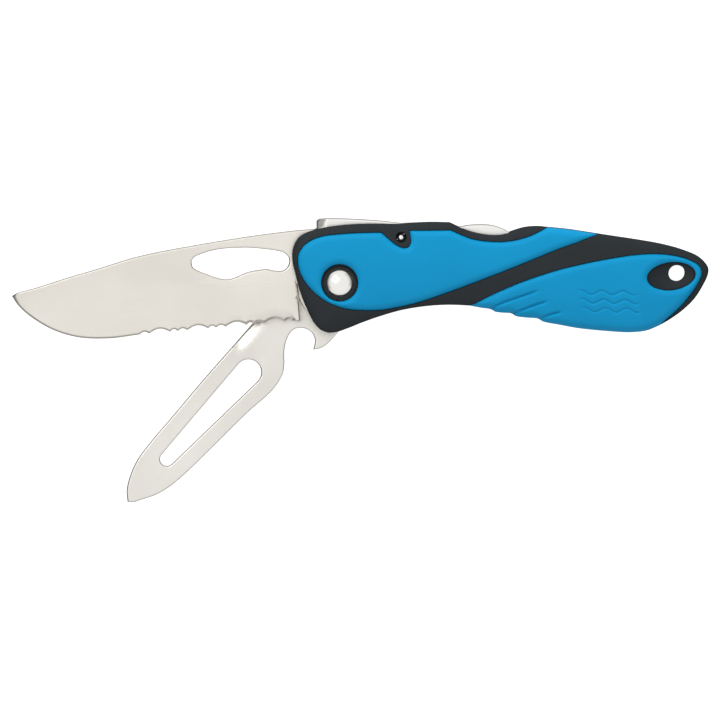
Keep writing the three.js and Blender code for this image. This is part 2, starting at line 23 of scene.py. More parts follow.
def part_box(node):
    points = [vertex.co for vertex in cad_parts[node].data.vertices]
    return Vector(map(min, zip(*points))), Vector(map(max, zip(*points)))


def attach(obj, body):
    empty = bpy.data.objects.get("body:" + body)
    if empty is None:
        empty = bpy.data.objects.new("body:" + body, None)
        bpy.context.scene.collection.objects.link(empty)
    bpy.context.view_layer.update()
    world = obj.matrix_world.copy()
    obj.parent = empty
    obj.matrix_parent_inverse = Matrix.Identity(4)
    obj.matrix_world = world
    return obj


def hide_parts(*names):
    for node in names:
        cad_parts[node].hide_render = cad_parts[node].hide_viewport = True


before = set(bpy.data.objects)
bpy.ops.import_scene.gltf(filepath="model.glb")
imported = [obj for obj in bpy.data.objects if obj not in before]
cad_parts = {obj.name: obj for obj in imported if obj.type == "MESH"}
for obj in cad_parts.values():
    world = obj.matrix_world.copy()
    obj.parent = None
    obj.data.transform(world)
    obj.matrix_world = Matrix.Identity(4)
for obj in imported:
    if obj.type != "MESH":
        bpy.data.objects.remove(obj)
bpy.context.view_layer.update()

log = logging.getLogger("rigging_knife")

MM = 0.001
PIVOT = sum(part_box("pivot_barrel"), Vector()) / 2

Array = np.ndarray
Pair = tuple[float, float]
Triple = tuple[float, float, float]
Knots = Sequence[Pair]
Height = Callable[[Array, Array], Array]

# ---- Outlines: each is a list of runs, and a run of more than two knots is a smooth curve ----------------

NOSE_RUN = [
    (-3.0, -13.3), (-5.0, -12.5), (-6.8, -10.6), (-8.6, -7.1), (-10.4, -2.6), (-11.6, 1.8), (-12.5, 6.0),
    (-12.3, 9.3), (-10.8, 12.0), (-8.2, 13.5), (-4.5, 14.5), (0, 15.2), (6, 15.6), (16, 15.6), (24.5, 15.9),
    (29.4, 15.8),
]
THUMB_NOTCH_RUN = [
    (29.4, 15.8), (32, 14.6), (35.9, 13.3), (40.9, 12.6), (43.9, 12.9), (46.8, 13.9), (49.5, 14.6),
    (52.5, 14.8), (55.1, 14.6),
]
TOP_PAD_RUN = [(55.1, 14.6), (61, 14.0), (66.2, 13.2), (68.4, 12.86)]
TAIL_RUN = [
    (68.4, 12.86), (72, 12.3), (78, 11.4), (85.4, 10.1), (91.2, 8.5), (95.6, 6.5), (97.7, 4.0),
    (97.6, 2.0), (96.6, -0.2), (94.2, -4.1), (91.2, -7.1), (87.8, -9.6), (84.9, -11.3),
]
BOTTOM_PAD_RUN = [
    (84.9, -11.3), (81.5, -12.7), (77, -13.2), (72.5, -13.0), (63.2, -12.1), (58.3, -11.2), (53.8, -10.3),
    (52.7, -9.6), (49.5, -9.3), (46.7, -8.9), (45.6, -8.2), (43.2, -8.0), (41.1, -7.7), (40.2, -7.1),
    (37.6, -6.7), (34.4, -6.1),
]
BELLY_RUN = [
    (34.4, -6.1), (30, -5.9), (25.8, -6.0), (20.9, -6.5), (16, -7.4), (11.1, -8.8), (6.2, -10.5),
    (2.2, -12.1), (-0.8, -13.1), (-3.0, -13.3),
]
HANDLE_RUNS = [NOSE_RUN, THUMB_NOTCH_RUN, TOP_PAD_RUN, TAIL_RUN, BOTTOM_PAD_RUN, BELLY_RUN]

FRONT_PAD_RUNS = [
    TOP_PAD_RUN,
    [
        (68.4, 12.86), (66.2, 12.0), (63.3, 10.8), (58.4, 9.1), (53.5, 7.1), (45.4, 3.8), (35.6, 0.0),
        (25.8, -3.6), (20.9, -5.2), (16.0, -6.4), (11.1, -7.2), (6.2, -7.3), (1.3, -6.8), (-3.6, -4.9),
        (-7.1, -2.2), (-9.6, 1.0), (-10.9, 4.4), (-10.9, 7.4), (-9.6, 9.7), (-7.4, 11.3), (-4.6, 12.3),
        (0.3, 12.9), (5.2, 13.2), (11.0, 13.3),
    ],
    [(11.0, 13.3), (13.5, 11.1), (15.1, 9.9), (16.7, 9.25), (18.1, 9.4), (18.9, 10.6), (18.6, 13.8)],
    [(18.6, 13.8), (29.4, 13.9)],
    [(29.4, 13.9), (35, 11.6), (41, 10.8), (45.8, 11.1), (50.3, 12.3), (55.1, 14.6)],
]
TAIL_PAD_RUNS = [
    [
        (35.6, -5.7), (38.8, -4.0), (43.7, -1.7), (48.6, 0.3), (53.5, 2.0), (58.4, 3.5), (63.3, 4.7),
        (68.1, 5.7), (73, 6.6), (78, 7.3), (82.9, 7.6), (87.7, 7.3), (91.9, 6.3), (95.2, 4.5), (96.0, 2.4),
        (95.2, 0.2), (93.2, -2.9), (90.3, -6.4), (87.6, -8.9), (84.9, -11.3),
    ],
    BOTTOM_PAD_RUN,
    [(34.4, -6.1), (35.6, -5.7)],
]
GRIP_GROOVES = [
    [(39.6, -7.2), (42.6, -5.7), (47.9, -3.8), (53.6, -1.9)],
    [(45.3, -8.6), (48.4, -7.3), (52.2, -5.9), (55.8, -4.8)],
    [(52.3, -10.0), (54.8, -8.9), (57.0, -8.2), (59.2, -7.8)],
]

BLADE_SPINE_RUN = [
    (-6.3, 14.2), (-11.3, 13.8), (-18.8, 12.9), (-26.6, 11.8), (-36.3, 10.2), (-46.3, 8.4), (-54.4, 6.6),
    (-64.4, 3.5), (-72.2, 1.2), (-81, -1.6), (-85.2, -2.7), (-86.8, -3.6),
]
BLADE_BELLY_RUN = [
    (-86.8, -3.6), (-85.2, -6.0), (-82.9, -8.25), (-80.2, -10.2), (-76.9, -12.1), (-73.6, -13.45),
    (-70.2, -14.35), (-66.9, -14.8), (-63.6, -14.9), (-59.4, -14.7), (-52.9, -13.8),
]
BLADE_HEEL_CORNERS = [(-12.4, -10.2), (-10.2, -10.2)]
OPENING_HOLE_RUN = [
    (-39.2, 5.5), (-38.6, 6.6), (-36.7, 7.5), (-33.5, 8.5), (-30.2, 9.0), (-26.9, 9.2), (-23.6, 9.2),
    (-20.2, 8.9), (-17.1, 8.5), (-14.8, 7.9), (-13.4, 6.6), (-13.3, 5.2), (-13.9, 3.9), (-15, 3.1),
    (-17.1, 3.1), (-19.2, 3.5), (-21.3, 3.3), (-23.6, 2.9), (-25.6, 2.2), (-27.6, 1.3), (-29.9, 0.8),
    (-32.3, 1.2), (-34.6, 2.0), (-37.2, 3.0), (-38.8, 4.0), (-39.2, 5.5),
]

# The key is drawn fully open, its tip towards -X and its back up, and then turned to where it rests.
KEY_BACK_RUN = [
    (-6.3, 12.6), (-12, 10.4), (-20, 9.2), (-31.9, 8.5), (-43.1, 8.0), (-55.5, 7.2), (-66.2, 6.5),
    (-71.6, 5.7), (-76.4, 3.8), (-79, 2.1), (-80.8, 0),
]
KEY_FRONT_RUN = [
    (-80.8, 0), (-79.8, -1.2), (-78.1, -2.1), (-74.2, -4.1), (-69.8, -5.3), (-63.3, -5.9), (-53.2, -6.2),
    (-41.6, -6.5), (-36, -7.0), (-33.0, -7.1), (-30.3, -6.8), (-27.7, -6.0), (-25.7, -4.6),
    (-23.7, -2.6), (-21.3, -0.9), (-18.8, 0), (-16.9, -0.2), (-15.4, -1.5), (-14.7, -3.2), (-14.8, -4.8),
    (-15.7, -6.3), (-17.6, -7.5),
]
KEY_HOOK_RUN = [(-17.6, -7.5), (-16.2, -8.5), (-14.1, -9.1), (-11.5, -9.1), (-9.3, -9.0)]
KEY_NICK_RUN = [(-32.4, 8.9), (-31.6, 6.9), (-29.8, 6.1), (-26.7, 6.1), (-22, 7.1), (-17, 10.2)]

LEVER_TOP_RUN = [
    (-6.0, 16.2), (-5.5, 16.7), (-3.2, 16.9), (3, 16.8), (10.8, 16.3), (18, 15.5), (26, 14.9), (32, 14.8),
    (34.7, 15.2), (40, 15.2), (42.6, 14.5), (44.8, 13.4), (45.6, 12.4),
]
LEVER_UNDER_RUN = [
    (45.6, 12.4), (44, 12.1), (30, 11.4), (21, 10.5), (18.5, 10.2), (13.5, 10.2), (10.8, 10.9), (7, 12.7),
    (2, 13.4), (-2.6, 13.4),
]
LEVER_TOOTH_RUNS = [
    [(-2.6, 13.4), (-2.8, 12.1)],
    [(-2.8, 12.1), (-6.0, 10.9)],
    [(-6.0, 10.9), (-6.0, 16.2)],
]

SPACER_INNER_RUN = [
    (91.6, -6.1), (88.6, -5.6), (88.0, -3.0), (86.4, -0.6), (85.0, 3.0), (80, 5.4), (74, 7.4), (68, 9.0),
    (60, 9.9), (49.6, 10.2),
]
DIVIDER_RUNS = [
    [
        (96.4, 5.4), (90, 8.1), (78, 10.6), (68, 12.0), (60, 13.0), (53, 13.4), (51.5, 10.2), (48, 8.6),
        (20, 8.2), (10, 8.6), (4, 10.4), (-3.4, 10.4), (-8.5, 9.2), (-10.4, 6.4),
    ],
    [
        (-10.4, 6.4), (-9.8, 2.2), (-7.4, -5), (-4.6, -10.6), (-2.6, -11.6), (2, -10.4), (11, -7.4),
        (20, -5.2), (30, -4.7), (40, -6), (52, -8.2), (64, -10.8), (76, -11.8), (84, -10.2), (90, -6.6),
        (95.2, -0.2), (96.4, 5.4),
    ],
]


class Side(Enum):
    """The two faces of the knife, as the sign of their heights."""

    TOP = 1
    BOTTOM = -1

    @property
    def word(self) -> str:
        """The side's name as the nodes spell it."""
        return self.name.lower()


class Slot(Enum):
    """The record's material slots."""

    SATIN_STEEL = "satin_steel"
    LINER_STEEL = "liner_steel"
    POLISHED_STEEL = "polished_steel"
    SPRING_STEEL = "spring_steel"
    BRONZE = "bronze"
    BLACK_NYLON = "black_nylon"
    BLUE_GRIP = "blue_grip"


class Body(Enum):
    """The bodies that pieces ride on."""

    HANDLE = "handle"
    BLADE = "blade"
    KEY = "key"
    LEVER = "lever"


# ---- Plane geometry --------------------------------------------------------------------------------------

SPLINE_SAMPLES = 24  # points between two knots, before they are spaced evenly
BATCH = 1500
TINY = 1e-12  # keeps a division from failing


def smooth_run(knots: Knots, step: float) -> Array:
    """Evenly spaced points along a centripetal spline through the knots, the last knot left out.

    Args:
        knots: the points that the curve goes through; two of them make a straight run.
        step: the wanted spacing in millimetres.

    Returns:
        An N x 2 array.
    """
    knots = np.asarray(knots, float)
    dense = knots
    if len(knots) > 2:
        ends = np.vstack([2 * knots[0] - knots[1], knots, 2 * knots[-1] - knots[-2]])
        gaps = np.sqrt(np.linalg.norm(np.diff(ends, axis=0), axis=1))
        t = np.linspace(0, 1, SPLINE_SAMPLES, endpoint=False)[:, None]
        spans = []
        for i in range(1, len(ends) - 2):
            before, here, after, beyond = ends[i - 1:i + 3]
            g0, g1, g2 = gaps[i - 1:i + 2]
            leave = ((here - before) / g0 - (after - before) / (g0 + g1) + (after - here) / g1) * g1
            arrive = ((after - here) / g1 - (beyond - here) / (g1 + g2) + (beyond - after) / g2) * g1
            swerve = leave * t * (1 - t) ** 2 - arrive * t * t * (1 - t)
            spans.append(here + (after - here) * eased(t) + swerve)
        dense = np.vstack([*spans, knots[-1:]])
    lengths = np.concatenate([[0], np.cumsum(np.linalg.norm(np.diff(dense, axis=0), axis=1))])
    count = max(min(len(knots) - 1, 2), round(lengths[-1] / step))
    at = np.linspace(0, lengths[-1], count, endpoint=False)
    return np.column_stack([np.interp(at, lengths, dense[:, axis]) for axis in (0, 1)])


def path_of(runs: Iterable[Knots], step: float) -> Array:
    """Points along several runs, each starting where the one before it ends."""
    return np.vstack([smooth_run(run, step) for run in runs])


def anticlockwise(ring: Array) -> Array:
    """The ring, turned round if it runs clockwise."""
    x, y = ring.T
    return ring if np.sum(x * np.roll(y, -1) - np.roll(x, -1) * y) > 0 else ring[::-1]


def arc(centre: Pair, radius: float, start: float, end: float, count: int) -> Array:
    """Points of an arc, both ends included.

    Args:
        centre: centre of the arc.
        radius: its radius in millimetres.
        start: first angle in radians.
        end: last angle in radians.
        count: number of steps.

    Returns:
        A (count + 1) x 2 array.
    """
    angles = np.linspace(start, end, count + 1)
    return np.column_stack([centre[0] + radius * np.cos(angles), centre[1] + radius * np.sin(angles)])


def circle(centre: Pair, radius: float, count: int = 48) -> Array:
    """An anticlockwise circle."""
    return arc(centre, radius, 0, 2 * math.pi, count)[:-1]


def turned(points: Array, angle: float) -> Array:
    """The points turned anticlockwise about the origin by an angle in radians."""
    cos, sin = math.cos(angle), math.sin(angle)
    return points @ np.array([[cos, sin], [-sin, cos]])


def inset(ring: Array, distance: float) -> Array:
    """Each point of an anticlockwise ring moved inwards, or outwards if the distance is negative.

    Args:
        ring: the ring.
        distance: how far, in millimetres; a sharp corner moves at most twice as far.

    Returns:
        The moved ring.
    """
    least_cosine = 0.5
    into = ring - np.roll(ring, 1, axis=0)
    away = np.roll(ring, -1, axis=0) - ring
    into /= np.linalg.norm(into, axis=1)[:, None]
    away /= np.linalg.norm(away, axis=1)[:, None]
    normal = np.column_stack([-(into + away)[:, 1], (into + away)[:, 0]])
    normal /= np.maximum(np.linalg.norm(normal, axis=1), TINY)[:, None]
    cosine = np.maximum(least_cosine, normal[:, 1] * into[:, 0] - normal[:, 0] * into[:, 1])
    return ring + normal * (distance / cosine)[:, None]


def batches(points: Array) -> list[Array]:
    """The points in batches, so that a table of every pair stays small."""
    return np.array_split(points, max(1, len(points) // BATCH))


def nearest_on(points: Array, path: Array, closed: bool = True) -> tuple[Array, Array]:
    """How far points are from a path, and where along it the nearest place is.

    Args:
        points: N x 2 points.
        path: the path's points.
        closed: whether the path runs back to its start.

    Returns:
        The distances, and the place on the path from 0 at its start to 1 at its end.
    """
    start = path if closed else path[:-1]
    step = np.roll(path, -1, axis=0)[:len(start)] - start
    square = np.maximum((step ** 2).sum(axis=1), TINY)
    distances, shares = [], []
    for part in batches(points):
        away = part[:, None, :] - start
        along = np.clip((away * step).sum(axis=2) / square, 0, 1)
        gap = np.linalg.norm(away - step * along[..., None], axis=2)
        best = gap.argmin(axis=1)
        rows = np.arange(len(part))
        distances.append(gap[rows, best])
        shares.append((best + along[rows, best]) / len(start))
    return np.concatenate(distances), np.concatenate(shares)


def distance_to(points: Array, *rings: Array) -> Array:
    """Distance from each point to the nearest of several closed rings."""
    return np.min([nearest_on(points, ring)[0] for ring in rings], axis=0)


def distance_along(points: Array, path: Array) -> Array:
    """Distance from each point to an open path."""
    return nearest_on(points, path, closed=False)[0]


def inside(points: Array, ring: Array) -> Array:
    """Which points lie inside a ring: those from which a ray towards +X crosses it an odd number of times.

    Args:
        points: N x 2 points.
        ring: the ring's points.

    Returns:
        One True or False for each point.
    """
    x0, y0 = ring.T
    x1, y1 = np.roll(ring, -1, axis=0).T
    rise = np.where(y1 == y0, TINY, y1 - y0)
    found = []
    for part in batches(points):
        x, y = part[:, :1], part[:, 1:]
        crosses = ((y0 > y) != (y1 > y)) & (x < x0 + (y - y0) * (x1 - x0) / rise)
        found.append(crosses.sum(axis=1) % 2 == 1)
    return np.concatenate(found)


def eased(share: Array) -> Array:
    """A smooth step: 0 up to 0, 1 from 1 on."""
    share = np.clip(share, 0, 1)
    return share * share * (3 - 2 * share)


def slowing(share: Array) -> Array:
    """A rise from 0 at 0 to 1 at 1, which it reaches level, staying there."""
    return 1 - (1 - np.clip(share, 0, 1)) ** 2


def quarter_round(share: Array) -> Array:
    """The height of a quarter circle, rising from 0 at 0 to 1 at 1 and staying there."""
    return np.sqrt(slowing(share))


def pressed(share: Array) -> Array:
    """The rounded section of a line pressed into a face: 1 at its middle, and nearly 0 from 1.5 on."""
    return np.exp(-1.6 * share ** 2)


# ---- Meshes ----------------------------------------------------------------------------------------------

SHARP_ANGLE = math.radians(38)
THINNEST = 1e-4  # where a shell is thinner than this, its two faces meet
WELD = 1e-4  # points nearer to each other than this are one
ROW_SHARE = 0.96  # a row's point is dropped if another edge is nearer than this share of its distance
DETAIL_MARGIN = 0.12  # and a detail's point if an edge is nearer than this


def finished_mesh(name: str, places: Array, faces: Sequence[Sequence[int]], side: Side) -> Mesh:
    """A smooth-shaded mesh in the shared frame.

    Args:
        name: the mesh's name.
        places: N x 3 vertices in bench millimetres.
        faces: vertex numbers of each face.
        side: BOTTOM mirrors it to the underside of the knife.

    Returns:
        The mesh.
    """
    if side is Side.BOTTOM:
        places = places * (1, 1, -1)
        faces = [face[::-1] for face in faces]
    mesh = bpy.data.meshes.new(name)
    mesh.from_pydata(places * MM + np.array(PIVOT), [], faces)
    mesh.validate()
    mesh.shade_smooth()
    mesh.set_sharp_from_angle(angle=SHARP_ANGLE)
    return mesh


@dataclass
class Relief:
    """A closed shell whose upper and lower faces are heights over a flat region."""

    outline: Array
    top: Height  # height of the upper face from the points and their distance to the region's edge
    bottom: Height
    holes: Sequence[Array] = ()
    insets: Sequence[float] = ()  # distances from the edge at which the faces get a row of points
    spacing: float = 1.6  # spacing of the points in the middle
    creases: Sequence[Array] = ()  # rings that the faces' edges follow
    details: Sequence[Array] = ()  # extra points where the faces carry something fine

    def covers(self, points: Array) -> Array:
        """Which points lie on the region."""
        return inside(points, self.outline) & ~np.any([inside(points, hole) for hole in self.holes], axis=0)

    def edge_distance(self, points: Array) -> Array:
        """Distance from each point to the region's edge."""
        return distance_to(points, self.outline, *self.holes)

    def kept(self, points: Array, margin: float) -> Array:
        """The points that lie on the region and further from its edge than a margin."""
        points = points[self.covers(points)]
        return points[self.edge_distance(points) > margin]

    def loose_points(self) -> Array:
        """The points beside the rings: rows along the edge, details, and a grid of hexagons between them.

        Returns:
            An N x 2 array.
        """
        rings = [self.outline, *[hole[::-1] for hole in self.holes]]
        rows = [self.kept(inset(ring, gap), ROW_SHARE * gap) for ring in rings for gap in self.insets]
        details = [self.kept(part, DETAIL_MARGIN) for part in self.details]
        (left, front), (right, back) = self.outline.min(axis=0), self.outline.max(axis=0)
        half = self.spacing / 2
        x, y = np.meshgrid(np.arange(left, right, self.spacing), np.arange(front, back, half * math.sqrt(3)))
        x[1::2] += half
        grid = self.kept(np.column_stack([x.ravel(), y.ravel()]), max(self.insets, default=0) + half)
        crowd = [*self.creases, *details]
        if crowd:
            crowd = np.vstack(crowd)
            gaps = [np.linalg.norm(part[:, None, :] - crowd, axis=2).min(axis=1) for part in batches(grid)]
            grid = grid[np.concatenate(gaps) > half]
        return np.vstack([*rows, *details, grid])

    def mesh(self, name: str, side: Side = Side.TOP, turn: float = 0.0) -> Mesh:
        """Makes the shell.

        Args:
            name: the mesh's name.
            side: BOTTOM mirrors the shell to the underside of the knife.
            turn: angle in radians by which it is turned about the pivot axis at the end.

        Returns:
            The mesh, in the shared frame.
        """
        rings = [self.outline, *self.holes, *self.creases]
        edges, start = [], 0
        for ring in rings:
            numbers = range(start, start + len(ring))
            edges += zip(numbers, [*numbers[1:], start])
            start += len(ring)
        points = np.vstack([*rings, self.loose_points()])
        flat, _, triangles, *_ = delaunay_2d_cdt([Vector(p) for p in points], edges, [], 0, WELD)
        flat = np.array([tuple(p) for p in flat])
        triangles = np.array([t for t in triangles if len(t) == 3])
        triangles = triangles[self.covers(flat[triangles].mean(axis=1))]
        a, b, c = (flat[triangles[:, k]] for k in range(3))
        clockwise = (b - a)[:, 0] * (c - a)[:, 1] - (b - a)[:, 1] * (c - a)[:, 0] < 0
        triangles[clockwise] = triangles[clockwise][:, ::-1]
        used, triangles = np.unique(triangles, return_inverse=True)
        places, faces = self.closed_shell(flat[used], triangles.reshape(-1, 3))
        places[:, :2] = turned(places[:, :2], turn)
        return finished_mesh(name, places, faces, side)

    def closed_shell(self, flat: Array, triangles: Array) -> tuple[Array, list[list[int]]]:
        """Lifts flat triangles to both faces and joins these along their border.

        Args:
            flat: N x 2 points of the region.
            triangles: their anticlockwise triangles.

        Returns:
            The shell's vertices and its faces.
        """
        edge = self.edge_distance(flat)
        high, low = self.top(flat, edge), self.bottom(flat, edge)
        numbers = np.arange(len(flat))
        lower = np.where(high - low < THINNEST, numbers, numbers + len(flat))
        sides = np.vstack([triangles[:, [0, 1]], triangles[:, [1, 2]], triangles[:, [2, 0]]]).tolist()
        backwards = {(b, a) for a, b in sides}
        faces = [list(t) for t in triangles] + [[lower[c], lower[b], lower[a]] for a, b, c in triangles]
        walls = [dict.fromkeys([lower[a], lower[b], b, a]) for a, b in sides if (a, b) not in backwards]
        faces += [list(wall) for wall in walls if len(wall) > 2]
        places = np.vstack([np.column_stack([flat, high]), np.column_stack([flat, low])])
        used, numbers = np.unique([v for face in faces for v in face], return_inverse=True)
        numbers = iter(numbers.tolist())
        return places[used], [[next(numbers) for _ in face] for face in faces]


def turned_mesh(name: str, centre: Pair, profile: Knots, side: Side, segments: int = 72) -> Mesh:
    """A solid of revolution about an upright axis.

    Args:
        name: the mesh's name.
        centre: where the axis stands.
        profile: radius and height of each ring, from the lowest point on the axis to the highest.
        side: BOTTOM mirrors it to the underside.
        segments: number of steps round.

    Returns:
        The mesh, in the shared frame.
    """
    places, faces, rings = [], [], []
    for radius, height in profile:
        around = circle(centre, radius, segments if radius > 0 else 1)
        rings.append(range(len(places), len(places) + len(around)))
        places += [(x, y, height) for x, y in around]
    for low, high in zip(rings, rings[1:]):
        for i in range(segments):
            here, after = i, (i + 1) % segments
            corners = (low, here), (low, after), (high, after), (high, here)
            faces.append(list(dict.fromkeys(ring[at % len(ring)] for ring, at in corners)))
    return finished_mesh(name, np.array(places), faces, side)


# ---- Finishes --------------------------------------------------------------------------------------------


def linear(hex_colour: str) -> tuple[float, float, float, float]:
    """An sRGB hex colour as linear red, green, blue and alpha."""
    channels = [int(hex_colour[i:i + 2], 16) / 255 for i in (1, 3, 5)]
    return (*[c / 12.92 if c <= 0.04045 else ((c + 0.055) / 1.055) ** 2.4 for c in channels], 1.0)


def add_node(tree: NodeTree, kind: str, inputs: dict[str | int, Any] | None = None, **settings: Any) -> Node:
    """Adds a node with its settings, values and links.

    Args:
        tree: the node tree.
        kind: the node's type.
        inputs: for each input, a value or the output socket that feeds it.
        settings: properties of the node itself.

    Returns:
        The node.
    """
    node = tree.nodes.new(kind)
    for key, value in settings.items():
        setattr(node, key, value)
    for key, value in (inputs or {}).items():
        if isinstance(value, NodeSocket):
            tree.links.new(value, node.inputs[key])
        else:
            node.inputs[key].default_value = value
    return node


@dataclass(frozen=True)
class Finish:
    """What every finish has: a name, the record's slot it belongs to, colours and surface."""

    name: str
    slot: Slot
    light: str = "#c2c1bb"
    dark: str = "#a9a8a2"
    roughness: Pair = (0.36, 0.52)
    pattern_range: Pair = (0.3, 0.7)  # the values between which its pattern swings
    relief_mm: float = 0.01  # height of its finest unevenness
    relief_strength: float = 0.5

    def material(self) -> Material:
        """The finish's material, made the first time it is asked for.

        Returns:
            The material.
        """
        found = bpy.data.materials.get(self.name)
        if found is None:
            found = bpy.data.materials.new(self.name)
            found.use_nodes = True
            tree = found.node_tree
            tree.nodes.clear()
            shader = self.shader(tree, add_node(tree, "ShaderNodeTexCoord").outputs["Object"])
            add_node(tree, "ShaderNodeOutputMaterial", {"Surface": shader})
        return found

    def shader(self, tree: NodeTree, place: NodeSocket) -> NodeSocket:
        """Adds the finish's nodes and returns the shader that they end in."""
        raise NotImplementedError

    def surface(
        self, tree: NodeTree, tone: NodeSocket, gloss: NodeSocket, relief: NodeSocket, **sockets: float
    ) -> NodeSocket:
        """Leads a finish's patterns into its shader.

        Args:
            tree: the node tree.
            tone: the pattern that runs between the light and the dark colour.
            gloss: the pattern that runs between the two roughnesses.
            relief: the pattern that raises the surface.
            sockets: constants of the shader, by their sockets' names with _ for each space.

        Returns:
            The shader.
        """
        colour = add_node(tree, "ShaderNodeMix", {
            0: tone, 6: linear(self.light), 7: linear(self.dark),
        }, data_type="RGBA").outputs[2]
        (low, high), (smooth, rough) = self.pattern_range, self.roughness
        spread = add_node(tree, "ShaderNodeMapRange", {
            0: gloss, 1: low, 2: high, 3: smooth, 4: rough,
        }).outputs[0]
        bump = add_node(tree, "ShaderNodeBump", {
            "Strength": self.relief_strength, "Distance": self.relief_mm * MM, "Height": relief,
        }).outputs[0]
        return add_node(tree, "ShaderNodeBsdfPrincipled", {
            "Base Color": colour, "Roughness": spread, "Normal": bump,
            **{name.replace("_", " "): value for name, value in sockets.items()},
        }).outputs[0]


@dataclass(frozen=True)
class GroundSteel(Finish):
    """Stainless steel finished on a belt: scratches that run along the piece, over a faint slow mottle.

    The eye gets a soft, slightly streaked reflection that stretches across the grain.
    """

    light: str = "#e6e2da"
    dark: str = "#dad5cc"
    roughness: Pair = (0.27, 0.38)
    relief_mm: float = 0.004
    relief_strength: float = 0.35
    grain_angle: float = 0.0
    # Length, width and depth of a scratch. A belt's are finer: 0.3 mm is as coarse as they need to show.
    grain_mm: Triple = (14.0, 0.3, 2.0)
    mottle_mm: float = 16.0
    anisotropy: float = 0.25

    def shader(self, tree: NodeTree, place: NodeSocket) -> NodeSocket:
        """Scratches drive the roughness and a fine bump; the mottle drives the colour.

        Args:
            tree: the node tree.
            place: the place on the object.

        Returns:
            The shader.
        """
        along = add_node(tree, "ShaderNodeMapping", {
            "Vector": place, "Rotation": (0, 0, -self.grain_angle),
        }).outputs[0]
        stretched = add_node(tree, "ShaderNodeMapping", {
            "Vector": along, "Scale": tuple(1 / (length * MM) for length in self.grain_mm),
        }).outputs[0]
        grain = add_node(tree, "ShaderNodeTexNoise", {
            "Vector": stretched, "Scale": 1.0, "Detail": 3.0, "Roughness": 0.6,
        }).outputs[0]
        mottle = add_node(tree, "ShaderNodeTexNoise", {
            "Vector": place, "Scale": 1 / (self.mottle_mm * MM), "Detail": 2.0,
        }).outputs[0]
        return self.surface(tree, mottle, grain, grain, Metallic=1.0, Anisotropic=self.anisotropy)


@dataclass(frozen=True)
class TumbledMetal(Finish):
    """Metal tumbled with stones: a dull, even surface with tiny random dents and a cloudy tone."""

    dent_mm: float = 0.6
    cloud_mm: float = 5.4

    def shader(self, tree: NodeTree, place: NodeSocket) -> NodeSocket:
        """Small dents drive the bump, and a slower cloud the colour and roughness.

        Args:
            tree: the node tree.
            place: the place on the object.

        Returns:
            The shader.
        """
        dents = add_node(tree, "ShaderNodeTexNoise", {
            "Vector": place, "Scale": 1 / (self.dent_mm * MM), "Detail": 4.0,
        }).outputs[0]
        cloud = add_node(tree, "ShaderNodeTexNoise", {
            "Vector": place, "Scale": 1 / (self.cloud_mm * MM), "Detail": 3.0,
        }).outputs[0]
        return self.surface(tree, cloud, cloud, dents, Metallic=1.0)


@dataclass(frozen=True)
class PolishedSteel(Finish):
    """Stainless steel buffed almost to a mirror, with the hairline swirls that handling leaves in it."""

    light: str = "#efeeea"
    roughness: Pair = (0.13, 0.21)
    pattern_range: Pair = (0.35, 0.7)
    swirl_mm: float = 0.7

    def shader(self, tree: NodeTree, place: NodeSocket) -> NodeSocket:
        """Warped noise stands for the swirls and drives the roughness alone.

        Args:
            tree: the node tree.
            place: the place on the object.

        Returns:
            The shader.
        """
        swirls = add_node(tree, "ShaderNodeTexNoise", {
            "Vector": place, "Scale": 1 / (self.swirl_mm * MM), "Detail": 5.0, "Distortion": 2.0,
        }).outputs[0]
        (low, high), (smooth, rough) = self.pattern_range, self.roughness
        spread = add_node(tree, "ShaderNodeMapRange", {
            0: swirls, 1: low, 2: high, 3: smooth, 4: rough,
        }).outputs[0]
        return add_node(tree, "ShaderNodeBsdfPrincipled", {
            "Base Color": linear(self.light), "Metallic": 1.0, "Roughness": spread,
        }).outputs[0]


@dataclass(frozen=True)
class MouldedPolymer(Finish):
    """A moulded polymer: the mould's spark-eroded skin as fine grain, with a slow unevenness of tone."""

    light: str = "#1c2225"
    dark: str = "#171b1e"
    roughness: Pair = (0.42, 0.56)
    pattern_range: Pair = (0.1, 0.8)
    relief_mm: float = 0.012
    relief_strength: float = 0.4
    ior: float = 1.53
    specular: float = 0.18
    grain_mm: float = 0.35
    mottle_mm: float = 8.0

    def shader(self, tree: NodeTree, place: NodeSocket) -> NodeSocket:
        """The grain drives the bump and roughness, and the mottle the colour.

        Args:
            tree: the node tree.
            place: the place on the object.

        Returns:
            The shader.
        """
        grain = add_node(tree, "ShaderNodeTexVoronoi", {
            "Vector": place, "Scale": 1 / (self.grain_mm * MM), "Randomness": 1.0,
        }, feature="SMOOTH_F1").outputs["Distance"]
        mottle = add_node(tree, "ShaderNodeTexNoise", {
            "Vector": place, "Scale": 1 / (self.mottle_mm * MM), "Detail": 3.0,
        }).outputs[0]
        return self.surface(tree, mottle, grain, grain, IOR=self.ior, Specular_IOR_Level=self.specular)


KEY_REST_ANGLE = math.radians(46.1)

# The blade and the key are belt-ground along their length, so the key's grain is turned with it.
BLADE_STEEL = GroundSteel("belt_ground_stainless_blade", Slot.SATIN_STEEL, grain_angle=math.radians(7))
KEY_STEEL = GroundSteel(
    "belt_ground_stainless_key", Slot.SATIN_STEEL, light="#e5e2dd", dark="#d6d2ca", grain_angle=KEY_REST_ANGLE
)
# The lever is ground on a finer belt, with short scratches; its near-white colour is a painted highlight for
# the light it faces.
LEVER_STEEL_PAINTED_BRIGHT = GroundSteel(
    "belt_ground_stainless_lever", Slot.SATIN_STEEL, light="#f4f2ef", dark="#ebe9e5", grain_mm=(8.0, 0.3, 2.0)
)
# Liners and divider are cut from sheet and tumbled: grey and dull, so that they stay behind the bright tools.
LINER_STEEL = TumbledMetal("tumbled_stainless_sheet", Slot.LINER_STEEL)
